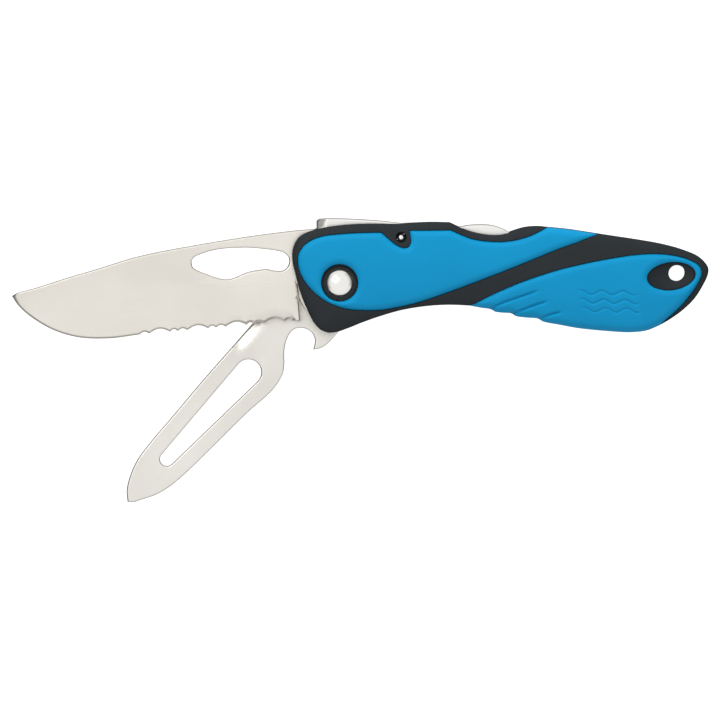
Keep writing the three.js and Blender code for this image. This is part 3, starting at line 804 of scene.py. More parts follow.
# Hardening and tempering leave the spring, the barrel and the rivets a darker grey.
SPRING_STEEL = TumbledMetal(
    "tempered_spring_steel", Slot.SPRING_STEEL, light="#959592", dark="#7c7c79", roughness=(0.34, 0.5)
)
# Washers stamped from bronze strip: a warm brown line between the grey plates.
BRONZE = TumbledMetal(
    "stamped_phosphor_bronze", Slot.BRONZE, light="#c08f4e", dark="#a87a3e", roughness=(0.32, 0.46)
)
# The pivot's heads and the lever's pin are buffed, and mirror what is overhead as bright spots.
MIRROR_STEEL = PolishedSteel("buffed_stainless", Slot.POLISHED_STEEL)
# Glass-filled nylon takes a fine dull skin from the mould: nearly black, with a soft grey sheen on curves.
BLACK_NYLON = MouldedPolymer("moulded_glass_filled_nylon", Slot.BLACK_NYLON)
# Soft-touch elastomer is moulded over the nylon: saturated blue, almost no gloss, a slightly finer grain.
BLUE_ELASTOMER = MouldedPolymer(
    "overmoulded_soft_elastomer", Slot.BLUE_GRIP, light="#047dab", dark="#0377a3", roughness=(0.5, 0.64),
    ior=1.5, specular=0.13, grain_mm=0.28, relief_mm=0.008, mottle_mm=12.0,
)


# ---- Fitting pieces to the frame -------------------------------------------------------------------------


def height_of(z: float) -> float:
    """A height in the frame as millimetres above the middle of the knife."""
    return (z - PIVOT.z) / MM


def add_piece(mesh: Mesh, finish: Finish, body: Body, *nodes: str) -> None:
    """Puts a piece in the scene, dressed and riding on its body.

    Args:
        mesh: its mesh, whose name the piece takes.
        finish: its finish.
        body: the body it rides on.
        nodes: the CAD nodes that it stands for.
    """
    piece = bpy.data.objects.new(mesh.name, mesh)
    bpy.context.scene.collection.objects.link(piece)
    mesh.materials.append(finish.material())
    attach(piece, body.value)
    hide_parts(*nodes)
    log.info("%s: %d faces in %s, on body %s", piece.name, len(mesh.polygons), finish.name, body.value)


def dress_node(node: str, finish: Finish) -> None:
    """Gives a CAD node that stays in view its finish.

    Args:
        node: the node's name.
        finish: its finish.
    """
    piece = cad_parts[node]
    piece.data.materials.clear()
    piece.data.materials.append(finish.material())
    log.info("%s: CAD node in %s", node, finish.name)


@dataclass(frozen=True)
class Stack:
    """Heights of the plates above the middle of the knife, in millimetres, as the frame has them."""

    tool_inner: float = height_of(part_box("main_blade")[0].z)
    tool_outer: float = height_of(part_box("main_blade")[1].z)
    liner_inner: float = height_of(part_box("top_liner")[0].z)
    liner_outer: float = height_of(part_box("top_liner")[1].z)
    spacer_inner: float = height_of(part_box("blade_spacer")[0].z)
    spacer_outer: float = height_of(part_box("blade_spacer")[1].z)
    pad_top: float = height_of(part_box("top_front_pad")[1].z)
    divider: float = height_of(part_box("divider_plate")[1].z)
    lever: float = height_of(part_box("lock_lever")[1].z)
    lever_pin: float = height_of(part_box("lever_pin")[1].z)
    pivot_shank: float = height_of(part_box("top_pivot_screw")[0].z)


STACK = Stack()


def centre_of(node: str) -> Pair:
    """Where a node's middle is, in millimetres from the pivot axis."""
    middle = (sum(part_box(node), Vector()) / 2 - PIVOT) / MM
    return middle.x, middle.y


def radius_of(node: str) -> float:
    """Half of a round node's width, in millimetres."""
    low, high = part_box(node)
    return (high.x - low.x) / 2 / MM


def bore_for(node: str, play: float, count: int = 40) -> Array:
    """A round hole in which a round node stands with some play."""
    return circle(centre_of(node), radius_of(node) + play, count)


def flat_with_edges(height: float, radius: float, up: bool = True) -> Height:
    """A flat face with rounded edges.

    Args:
        height: the face's height.
        radius: how far the edges round over.
        up: whether it faces up.

    Returns:
        The height function.
    """
    drop = radius if up else -radius

    def face(_: Array, edge: Array) -> Array:
        """The face's height at points that are this far from its edge."""
        return height - drop * (1 - quarter_round(edge / radius))

    return face


def rows_for(radius: float) -> list[float]:
    """Distances from the edge that follow a rounding of that radius, and one just past it."""
    steps = 4
    return [*[radius * (1 - math.cos(math.pi / 2 * i / steps)) for i in range(1, steps + 1)], radius * 1.5]


def flat_plate(
    name: str, outline: Array, low: float, high: float, radius: float, holes: Sequence[Array],
    side: Side = Side.TOP, spacing: float = 3.0,
) -> Mesh:
    """A flat plate with rounded edges.

    Args:
        name: the mesh's name.
        outline: its outline.
        low: height of its lower face.
        high: height of its upper face.
        radius: rounding of its edges.
        holes: the holes through it.
        side: BOTTOM mirrors it to the underside.
        spacing: spacing of its points.

    Returns:
        The mesh.
    """
    top, bottom = flat_with_edges(high, radius), flat_with_edges(low, radius, up=False)
    return Relief(outline, top, bottom, holes, rows_for(radius), spacing).mesh(name, side)


# ---- Handle ----------------------------------------------------------------------------------------------


@dataclass
class Handle:
    """The two black scales with their blue pads, the steel liners, the divider and the back spacers."""

    step: float = 0.7  # spacing of the points along the outlines
    edge_height: float = 6.0  # a scale's height where its rounding starts at the outline
    edge_round: float = 2.4  # width of that rounding
    edge_rise: float = 0.8  # how far the surface rises over it
    crown_width: float = 12.5  # distance over which it goes on rising towards the middle
    crown_rise: float = 1.15  # how far it rises there
    scale_rows: tuple[float, ...] = (0.04, 0.12, 0.26, 0.5, 0.85, 1.3, 1.8, 2.4)
    seat: float = 5.5  # height of the floor that the pads are moulded on
    pad_gap: float = 0.04  # from there to a pad's underside
    parting: float = 0.16  # width of the fine line between pad and scale
    seat_reach: float = 0.75  # the share of that line up to which the seat goes on
    pad_dip: float = 0.38  # how far a pad's edge starts below the scale
    pad_rise: float = 0.22  # how far it stands proud of the scale inside its rounded border
    pad_border: float = 1.8  # width of that border
    pad_rows: tuple[float, ...] = (0.04, 0.15, 0.35, 0.6, 0.9, 1.2, 1.5, 1.8)
    ring_radius: float = 4.9  # the black ring round the pivot's head
    ring_height: float = 6.9  # its sunk floor
    ring_slope: float = 0.6  # width of the slope down to it
    ring_rows: tuple[float, ...] = (0.18, 0.3, 0.42, 0.6)
    head_clearance: float = 0.16  # play round the pivot's head
    pin_clearance: float = 0.08  # play round the lever's pin
    socket_radius: float = 1.55  # the socket that the lever's pin shows in
    socket_depth: float = 1.3
    socket_slope: float = 0.35
    socket_rows: tuple[float, ...] = (0.0, 0.12, 0.24, 0.36)
    lanyard_hole: Pair = (89.4, 2.4)
    lanyard_radius: float = 2.2
    dish_centre: Pair = (87.9, 1.7)  # the dished oval round the lanyard hole
    dish_half: Pair = (6.5, 3.7)
    dish_tilt: float = 0.12
    dish_depth: float = 1.9
    dish_share: float = 0.98  # the dish itself reaches this far out, and then comes the parting
    dish_bow: float = 0.7  # 0.5 would make the dish half an ellipsoid and 1 a paraboloid
    dish_rows: tuple[float, ...] = (0.4, 0.8, 1.3, 1.9, 2.6)  # rows of points inside the oval
    groove_depth: float = 0.5  # the tail pad's finger grooves
    groove_width: float = 0.45
    groove_fade: float = 0.22  # the share of a groove over which it runs out
    wave_depth: float = 0.2  # the wavy lines on the tail pad
    wave_width: float = 0.34
    wave_fade: float = 0.12
    wave_start: Pair = (62.5, -2.6)
    wave_pitch: Pair = (0.5, -2.3)  # from one line to the next
    wave_run: float = 17.0
    wave_length: float = 5.6
    wave_swing: float = 0.55
    wave_fall: float = 0.02
    # Rows of points on both sides of a groove or wave, in widths from its middle.
    pressed_rows: tuple[float, ...] = (-1.8, -1.35, -0.9, -0.45, 0.0, 0.45, 0.9, 1.35, 1.8)
    scale_edge: float = 0.2  # rounding of a scale's inner edge
    liner_edge: float = 0.12  # rounding of the plates' edges
    divider_edge: float = 0.1
    spacer_edge: float = 0.15
    rod_clearance: float = 0.15  # play round the rods that run through the plates
    liner_inset: float = 0.8
    spacer_inset: float = 0.6
    spacer_front: float = 13.6  # the spacer's outer side starts at this height of the outline
    play: float = 0.02  # between plates that lie on each other
    outline: Array = field(init=False)
    pads: list[Array] = field(init=False)

    def __post_init__(self) -> None:
        """Works out the outlines that every piece of the handle shares."""
        self.outline = anticlockwise(path_of(HANDLE_RUNS, self.step))
        self.pads = [anticlockwise(path_of(runs, self.step)) for runs in (FRONT_PAD_RUNS, TAIL_PAD_RUNS)]

    def surface(self, points: Array) -> Array:
        """Height of the handle's crowned surface: a soft edge, then a slow rise to the middle.

        Args:
            points: N x 2 points.

        Returns:
            The height at each of them.
        """
        edge = distance_to(points, self.outline)
        height = self.edge_height + self.edge_rise * quarter_round(edge / self.edge_round)
        return height + self.crown_rise * slowing(edge / self.crown_width)

    def dish_ring(self, grow: float = 0.0) -> Array:
        """The oval of the dished lanyard hole, grown by a distance."""
        oval = circle((0, 0), 1, 64) * (np.array(self.dish_half) + grow)
        return turned(oval, self.dish_tilt) + np.array(self.dish_centre)

    def across_dish(self, points: Array) -> Array:
        """0 at the middle of the dish, 1 on its oval, more outside it."""
        local = turned(points - np.array(self.dish_centre), -self.dish_tilt)
        return np.linalg.norm(local / np.array(self.dish_half), axis=1)

    def scale_top(self, points: Array, _: Array) -> Array:
        """Upper face of a scale: crowned where it shows, a flat seat under the pads, and its sockets.

        Args:
            points: N x 2 points.

        Returns:
            The height at each of them.
        """
        height = self.surface(points)
        from_pivot, from_dish = np.linalg.norm(points, axis=1), self.across_dish(points)
        ring = from_pivot < self.ring_radius - self.parting / 2
        dish = from_dish < self.dish_share
        for pad in self.pads:
            under = inside(points, pad) | (distance_to(points, pad) < self.parting * self.seat_reach)
            height = np.where(under & ~ring & ~dish, self.seat, height)
        sunk = eased((self.ring_radius - from_pivot) / self.ring_slope)
        height = np.where(ring, height + (self.ring_height - height) * sunk, height)
        bowl = self.dish_depth * (1 - np.clip(from_dish, 0, 1) ** 2) ** self.dish_bow
        height = np.where(dish, height - bowl, height)
        from_pin = np.linalg.norm(points - np.array(centre_of("lever_pin")), axis=1)
        return height - self.socket_depth * eased((self.socket_radius - from_pin) / self.socket_slope)

    def scale(self, side: Side) -> None:
        """One black scale, with the seats of its pads and the holes that go through it.

        Args:
            side: the side of the knife.
        """
        pin, line, ring = centre_of("lever_pin"), self.parting, self.ring_radius
        seats = [inset(pad, -gap) for gap in (line, line / 2) for pad in self.pads]
        seats += [circle((0, 0), ring - line * share, 72) for share in (0.75, 0.25)]
        seats += [self.dish_ring(grow) for grow in (-line, -line / 2)]
        wells = [circle(pin, self.socket_radius - row, 40) for row in self.socket_rows]
        wells += [self.dish_ring(-row) for row in self.dish_rows]
        wells += [circle((0, 0), ring - row, 72) for row in self.ring_rows]
        shell = Relief(
            outline=self.outline,
            top=self.scale_top,
            bottom=flat_with_edges(STACK.liner_outer, self.scale_edge, up=False),
            holes=[
                bore_for("top_pivot_screw", self.head_clearance, 72),
                bore_for("lever_pin", self.pin_clearance, 32),
                circle(self.lanyard_hole, self.lanyard_radius, 56),
            ],
            insets=self.scale_rows,
            spacing=1.3,
            creases=seats,
            details=wells,
        )
        mesh = shell.mesh(f"{side.word}_scale_shell", side)
        add_piece(mesh, BLACK_NYLON, Body.HANDLE, f"{side.word}_scale")

    def pad_top(self, points: Array, edge: Array) -> Array:
        """Upper face of a pad: it follows the handle and stands a little proud inside a rounded border."""
        lowest = self.surface(points) - self.pad_dip
        return lowest + (self.pad_dip + self.pad_rise) * slowing(edge / self.pad_border)

    def pad_floor(self, points: Array, _: Array) -> Array:
        """Lower face of a pad, just above its seat."""
        return np.full(len(points), self.seat + self.pad_gap)

    def grooves(self) -> list[Array]:
        """The three finger grooves that run in from the tail pad's lower edge."""
        return [np.vstack([smooth_run(groove, 0.45), groove[-1:]]) for groove in GRIP_GROOVES]

    def waves(self) -> list[Array]:
        """Three short wavy lines, a plain ornament, pressed into the middle of the tail pad.

        Returns:
            The lines.
        """
        along = np.linspace(0, self.wave_run, 60)
        swing = self.wave_swing * np.sin(along / self.wave_length * 2 * math.pi) - self.wave_fall * along
        (x, y), (over, down) = self.wave_start, self.wave_pitch
        return [np.column_stack([x + over * row + along, y + down * row + swing]) for row in range(3)]

    def tail_pad_top(self, points: Array, edge: Array) -> Array:
        """The tail pad's upper face with its grooves and waves pressed in.

        Args:
            points: N x 2 points.
            edge: their distance to the pad's edge.

        Returns:
            The height at each of them.
        """
        height = self.pad_top(points, edge)
        for line in self.grooves():
            gap, share = nearest_on(points, line, closed=False)
            fade = eased((1 - share) / self.groove_fade)
            height = height - self.groove_depth * fade * pressed(gap / self.groove_width)
        for line in self.waves():
            gap, share = nearest_on(points, line, closed=False)
            fade = eased(share / self.wave_fade) * eased((1 - share) / self.wave_fade)
            height = height - self.wave_depth * fade * pressed(gap / self.wave_width)
        return height

    def pad(self, side: Side, place: str, outline: Array, top: Height, hole: Array, **extra: Any) -> None:
        """One blue pad.

        Args:
            side: the side of the knife.
            place: its place on the handle.
            outline: its outline.
            top: the heights of its upper face.
            hole: the hole in it.
            extra: what else its shell needs.
        """
        shell = Relief(outline, top, self.pad_floor, [hole], self.pad_rows, **extra)
        mesh = shell.mesh(f"{side.word}_{place}_grip", side)
        add_piece(mesh, BLUE_ELASTOMER, Body.HANDLE, f"{side.word}_{place}_pad")

    def front_pad(self, side: Side) -> None:
        """The blue pad round the pivot."""
        hole = circle((0, 0), self.ring_radius, 72)
        self.pad(side, "front", self.pads[0], self.pad_top, hole, spacing=1.3)

    def tail_pad(self, side: Side) -> None:
        """The blue pad at the tail, open round the dished lanyard hole.

        Args:
            side: the side of the knife.
        """
        details = []
        lines = [(line, self.groove_width) for line in self.grooves()]
        lines += [(line, self.wave_width) for line in self.waves()]
        for line, width in lines:
            tangent = np.gradient(line, axis=0)
            normal = np.column_stack([-tangent[:, 1], tangent[:, 0]])
            normal /= np.linalg.norm(normal, axis=1)[:, None]
            details += [line + normal * (width * share) for share in self.pressed_rows]
        outline, hole = self.pads[1], self.dish_ring()
        self.pad(side, "tail", outline, self.tail_pad_top, hole, spacing=1.2, details=details)

    def plate_holes(self, *nodes: str) -> list[Array]:
        """Holes for the rods that run through a plate, and for the lanyard."""
        rods = [bore_for(node, self.rod_clearance) for node in nodes]
        return [*rods, circle(self.lanyard_hole, self.lanyard_radius)]

    def liner(self, side: Side) -> None:
        """One steel liner.

        Args:
            side: the side of the knife.
        """
        holes = self.plate_holes("pivot_barrel", "lever_pin", "front_rivet", "tail_rivet")
        outline = inset(self.outline, self.liner_inset)
        low, high = STACK.liner_inner, STACK.liner_outer - self.play
        mesh = flat_plate(f"{side.word}_liner_sheet", outline, low, high, self.liner_edge, holes, side)
        add_piece(mesh, LINER_STEEL, Body.HANDLE, f"{side.word}_liner")

    def divider(self) -> None:
        """The thin plate between the blade and the key."""
        outline = anticlockwise(path_of(DIVIDER_RUNS, 1.0))
        holes = self.plate_holes("pivot_barrel", "front_rivet", "tail_rivet")
        mesh = flat_plate("divider_sheet", outline, -STACK.divider, STACK.divider, self.divider_edge, holes)
        add_piece(mesh, LINER_STEEL, Body.HANDLE, "divider_plate")

    def spacer(self, side: Side) -> None:
        """One back spacer, which closes the tail between a liner and the divider.

        Args:
            side: the side of the knife.
        """
        inner, outer = smooth_run(SPACER_INNER_RUN, self.step), inset(self.outline, self.spacer_inset)
        front = ((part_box("blade_spacer")[0].x - PIVOT.x) / MM + 2 * self.spacer_inset, self.spacer_front)
        first, last = (np.argmin(np.linalg.norm(outer - end, axis=1)) for end in (inner[0], np.array(front)))
        outer = np.roll(outer, -first, axis=0)[:(last - first) % len(outer) + 1]
        outline = anticlockwise(np.vstack([outer, SPACER_INNER_RUN[-1:], inner[::-1]]))
        low, high = STACK.spacer_inner + self.play, STACK.spacer_outer - self.play
        name = "blade_spacer" if side is Side.TOP else "key_spacer"
        holes = self.plate_holes("front_rivet", "tail_rivet")
        mesh = flat_plate(f"{name}_block", outline, low, high, self.spacer_edge, holes, side, spacing=2.5)
        add_piece(mesh, BLACK_NYLON, Body.HANDLE, name)

    def build(self) -> None:
        """Makes every piece of the handle."""
        for side in Side:
            self.scale(side)
            self.front_pad(side)
            self.tail_pad(side)
            self.liner(side)
            self.spacer(side)
        self.divider()
        for node in ("front_rivet", "tail_rivet"):
            dress_node(node, SPRING_STEEL)


# ---- Pivot and lock --------------------------------------------------------------------------------------


@dataclass
class Pivot:
    """The domed screws that show, and the barrel and washers between them."""

    seat: float = 5.9  # height of the head's underside
    sink: float = 0.06  # how far the dome's crown lies below the pads
    dome_rise: float = 1.0  # height of the dome above the head's upright wall
    lip: float = 0.12  # small rounding between the wall and the dome
    foot_bevel: float = 0.1
    shank_radius: float = 1.3

    def screw(self, side: Side) -> None:
        """One polished, domed head on its shank.

        Args:
            side: the side of the knife.
        """
        radius, crown = radius_of("top_pivot_screw"), STACK.pad_top - self.sink
        foot, bevel = crown - self.dome_rise, self.foot_bevel
        shank, end = self.shank_radius, STACK.pivot_shank
        profile = [(0, end), (shank, end), (shank, self.seat)]
        profile += [(radius - bevel, self.seat), (radius, self.seat + bevel), (radius, foot - self.lip)]
        reach, rise = radius - self.lip, self.dome_rise
        ball = (reach ** 2 + rise ** 2) / (2 * rise)
        for out in np.linspace(reach, 0, 19):
            profile.append((out, crown - ball + math.sqrt(ball ** 2 - out ** 2)))
        mesh = turned_mesh(f"{side.word}_pivot_dome", (0, 0), profile, side)
        add_piece(mesh, MIRROR_STEEL, Body.HANDLE, f"{side.word}_pivot_screw")

    def build(self) -> None:
        """Makes both screws and dresses what they hold."""
        for side in Side:
            self.screw(side)
        dress_node("pivot_barrel", SPRING_STEEL)
        for tool in ("blade", "key"):
            for place in ("inner", "outer"):
                dress_node(f"{tool}_{place}_washer", BRONZE)


@dataclass
class Lock:
    """The lever along the spine, the round-ended pin it rocks on and the leaf spring under its tail."""

    edge_radius: float = 0.35  # rounding of the lever's edges
    bore_clearance: float = 0.12  # play between the lever and its pin
    bevel_start: float = -3.4  # the nose's bevels start here
    bevel_angle: float = math.radians(32)
    fold_rows: Pair = (-3.4, -3.34)  # rows of points up the nose, where the bevels start
    fold_span: Triple = (12.0, 17.2, 0.3)  # first and last height of a row, and its spacing

    def lever(self) -> None:
        """The lever, as wide as both tools together, with a row of points along the fold of its nose."""
        outline = anticlockwise(path_of([LEVER_TOP_RUN, LEVER_UNDER_RUN, *LEVER_TOOTH_RUNS], 0.5))
        face = flat_with_edges(STACK.lever, self.edge_radius)

        def half_width(points: Array, edge: Array) -> Array:
            """Half of the lever's width, less towards the end of its bevelled nose."""
            past_start = np.maximum(0, self.bevel_start - points[:, 0])
            return face(points, edge) - past_start * math.tan(self.bevel_angle)

        up = np.arange(*self.fold_span)
        mesh = Relief(
            outline=outline,
            top=half_width,
            bottom=lambda points, edge: -half_width(points, edge),
            holes=[bore_for("lever_pin", self.bore_clearance, 32)],
            insets=rows_for(self.edge_radius),
            spacing=1.5,
            details=[np.column_stack([np.full(len(up), row), up]) for row in self.fold_rows],
        ).mesh("lock_lever_bar")
        add_piece(mesh, LEVER_STEEL_PAINTED_BRIGHT, Body.LEVER, "lock_lever")

    def pin(self) -> None:
        """The pin: a rod that ends in a polished ball on each side."""
        radius, half = radius_of("lever_pin"), STACK.lever_pin
        cap = [(x, half - radius + y) for x, y in arc((0, 0), radius, 0, math.pi / 2, 10)]
        cap[-1] = (0, half)
        profile = [(out, -height) for out, height in cap[::-1]] + cap
        mesh = turned_mesh("lever_pin_rod", centre_of("lever_pin"), profile, Side.TOP, 40)
        add_piece(mesh, MIRROR_STEEL, Body.HANDLE, "lever_pin")

    def build(self) -> None:
        """Makes the lever and its pin and dresses the spring."""
        self.lever()
        self.pin()
        dress_node("lever_spring", SPRING_STEEL)


# ---- Blade and key ---------------------------------------------------------------------------------------


@dataclass(frozen=True)
class Tang:
    """The round root of a tool, with the notch that the lever's tooth drops into."""

    bore_clearance: float = 0.15  # play round the pivot's barrel
    notch_floor: float = 9.6
    notch_front: float = -6.3
    notch_rear: float = -2.5

    def bore(self) -> Array:
        """The hole for the pivot."""
        return circle((0, 0), radius_of("pivot_barrel") + self.bore_clearance)

    def points(self, rim: float, end: float) -> Array:
        """The tang's outline from the far end of its rim back to the notch's front wall.

        Args:
            rim: radius of the rim.
            end: angle in radians at which the rim ends, below the axis.

        Returns:
            The points, anticlockwise.
        """
        start = math.atan2(math.sqrt(rim ** 2 - self.notch_rear ** 2), self.notch_rear)
        floor = [(self.notch_rear, self.notch_floor), (self.notch_front, self.notch_floor)]
        return np.vstack([arc((0, 0), rim, end, start, 60), floor])


@dataclass
class Blade:
    """The part-serrated blade: flat-ground from its back to a narrow ground edge."""

    rim: float = 11.5  # radius of the tang's rim
    rim_end: float = math.radians(-158)  # where the rim meets the heel
    scallops: tuple[Pair, ...] = ((2.5, 0.6), (5.5, 1.05), (2.1, 0.6))  # width and depth
    groups: int = 4  # of three scallops each
    scallop_step: float = 0.35  # spacing of the points along them
    behind_edge: float = 0.5  # half thickness where the ground edge starts
    bevel: float = 0.46  # width of the ground edge
    fold_width: float = 0.05  # its inner border has a row of points this far on each side
    grind_start: float = 11.0  # the flat grind begins this far in front of the pivot
    grind_blend: float = 22.0  # and is full this much further on
    edge_radius: float = 0.45  # broken edge of the back, the heel and the opening hole
    edge_share: float = 0.7  # but it takes away at most this share of the thickness
    plunge_line: Knots = ((-10.35, -10.2), (-10.85, -4.6), (-11.5, 0.0))  # groove where the wheel stopped
    plunge_width: float = 0.36  # half of the groove's width
    plunge_depth: float = 0.5

    def serrations(self) -> Array:
        """Scallops in groups of a small, a large and a small one, from the belly back to the heel.

        Returns:
            Their points.
        """
        start, end = np.array(BLADE_BELLY_RUN[-1]), np.array(BLADE_HEEL_CORNERS[0])
        scallops = self.scallops * self.groups
        stretch = (end[0] - start[0]) / sum(width for width, _ in scallops)
        points, x = [], start[0]
        for width, depth in scallops:
            steps = round(width / self.scallop_step)
            share = np.arange(steps) / steps
            across = x + width * stretch * share
            line = np.interp(across, [start[0], end[0]], [start[1], end[1]])
            points.append(np.column_stack([across, line + depth * np.sin(math.pi * share)]))
            x += width * stretch
        return np.vstack(points)

    def build(self) -> None:
        """Makes the blade."""
        spine = smooth_run(BLADE_SPINE_RUN, 0.8)
        edge = np.vstack([smooth_run(BLADE_BELLY_RUN, 0.5), self.serrations()])
        tang = Tang().points(self.rim, self.rim_end)
        heel = path_of([BLADE_HEEL_CORNERS, [BLADE_HEEL_CORNERS[1], tang[0]]], 0.4)
        back = np.vstack([heel, tang, spine])
        rounding = rows_for(self.edge_radius)
        rows = [*rounding[:3], self.bevel - self.fold_width, self.bevel + self.fold_width, rounding[-1]]
        groove = smooth_run(self.plunge_line, 0.4)
        hole, bore = anticlockwise(smooth_run(OPENING_HOLE_RUN, 0.5)), Tang().bore()
        middle = (STACK.tool_inner + STACK.tool_outer) / 2
        full = (STACK.tool_outer - STACK.tool_inner) / 2

        def half_thickness(points: Array) -> Array:
            """Half of the blade's thickness: its plate, its grind, its ground edge and its broken edges.

            Args:
                points: N x 2 points.

            Returns:
                Half the thickness at each of them.
            """
            to_edge, to_spine = distance_along(points, edge), distance_along(points, spine)
            share = to_spine / np.maximum(to_spine + to_edge, TINY)
            ground = eased((-self.grind_start - points[:, 0]) / self.grind_blend)
            half = full - (full - self.behind_edge) * share * ground
            half = np.minimum(half, to_edge * self.behind_edge / self.bevel)
            beside = distance_along(points, groove) / self.plunge_width
            half = half - self.plunge_depth * np.clip(1 - beside, 0, 1)
            to_back = np.minimum(distance_along(points, back), distance_to(points, hole, bore))
            broken = self.edge_radius * (1 - quarter_round(to_back / self.edge_radius))
            return half - np.minimum(broken, self.edge_share * half)

        aside = self.plunge_width * np.linspace(-1, 1, 5)
        mesh = Relief(
            outline=anticlockwise(np.vstack([edge, back])),
            top=lambda points, _: middle + half_thickness(points),
            bottom=lambda points, _: middle - half_thickness(points),
            holes=[hole, bore],
            insets=rows,
            spacing=1.2,
            details=[*[circle(tang[0], row, 28) for row in rows], *[groove + (shift, 0) for shift in aside]],
        ).mesh("main_blade_plate")
        add_piece(mesh, BLADE_STEEL, Body.BLADE, "main_blade")


@dataclass
class ShackleKey:
    """The key: a flat plate with a tapered slot, a bottle-opener hook and a nail nick in its back."""

    rim: float = 11.8  # radius of the tang's rim
    throat: float = 9.6  # the rim meets the hook this far below the axis
    slot_wide: Triple = (-33.9, 0.75, 3.45)  # place and radius of the slot's wide end
    slot_narrow: Triple = (-65.4, 0.35, 1.85)  # and of its far end
    nick_depth: float = 0.6  # depth of the nail nick along the key's back, which it runs out through
    nick_width: float = 2.6  # it is full depth this far in from its inner edge
    edge_radius: float = 0.4  # broken edge all round

    def slot(self) -> Array:
        """The slot's outline: two arcs joined by the tapered sides.

        Returns:
            The ring.
        """
        (x0, y0, r0), (x1, y1, r1) = self.slot_wide, self.slot_narrow
        along = math.atan2(y1 - y0, x1 - x0)
        lean = math.acos((r0 - r1) / math.hypot(x1 - x0, y1 - y0))
        mouth = arc((x0, y0), r0, along + lean, along + 2 * math.pi - lean, 40)
        end = arc((x1, y1), r1, along - lean, along + lean, 24)
        out, back = smooth_run([mouth[-1], end[0]], 0.8), smooth_run([end[-1], mouth[0]], 0.8)
        return anticlockwise(np.vstack([mouth[:-1], out, end[:-1], back]))

    def build(self) -> None:
        """Makes the key."""
        rim_end = math.atan2(-self.throat, -math.sqrt(self.rim ** 2 - self.throat ** 2))
        tang = Tang().points(self.rim, rim_end)
        front = path_of([KEY_FRONT_RUN, KEY_HOOK_RUN, [KEY_HOOK_RUN[-1], tang[0]]], 0.5)
        nick_line = np.vstack([smooth_run(KEY_NICK_RUN, 0.4), KEY_NICK_RUN[-1:]])
        nick = anticlockwise(nick_line)
        upper = flat_with_edges(-STACK.tool_inner, self.edge_radius)

        def top(points: Array, edge: Array) -> Array:
            """Upper face of the key, with the nick's floor sloping down towards the back."""
            slope = self.nick_depth * np.clip(distance_along(points, nick_line) / self.nick_width, 0, 1)
            return upper(points, edge) - np.where(inside(points, nick), slope, 0)

        mesh = Relief(
            outline=anticlockwise(np.vstack([smooth_run(KEY_BACK_RUN, 0.8), front, tang])),
            top=top,
            bottom=flat_with_edges(-STACK.tool_outer, self.edge_radius, up=False),
            holes=[self.slot(), Tang().bore()],
            insets=rows_for(self.edge_radius),
            spacing=1.6,
            details=[nick, *[inset(nick, depth) for depth in (0.12, 0.25, 0.38, 0.5)]],
        ).mesh("shackle_key_plate", turn=KEY_REST_ANGLE)
        add_piece(mesh, KEY_STEEL, Body.KEY, "shackle_key")


# ---- Studio ----------------------------------------------------------------------------------------------


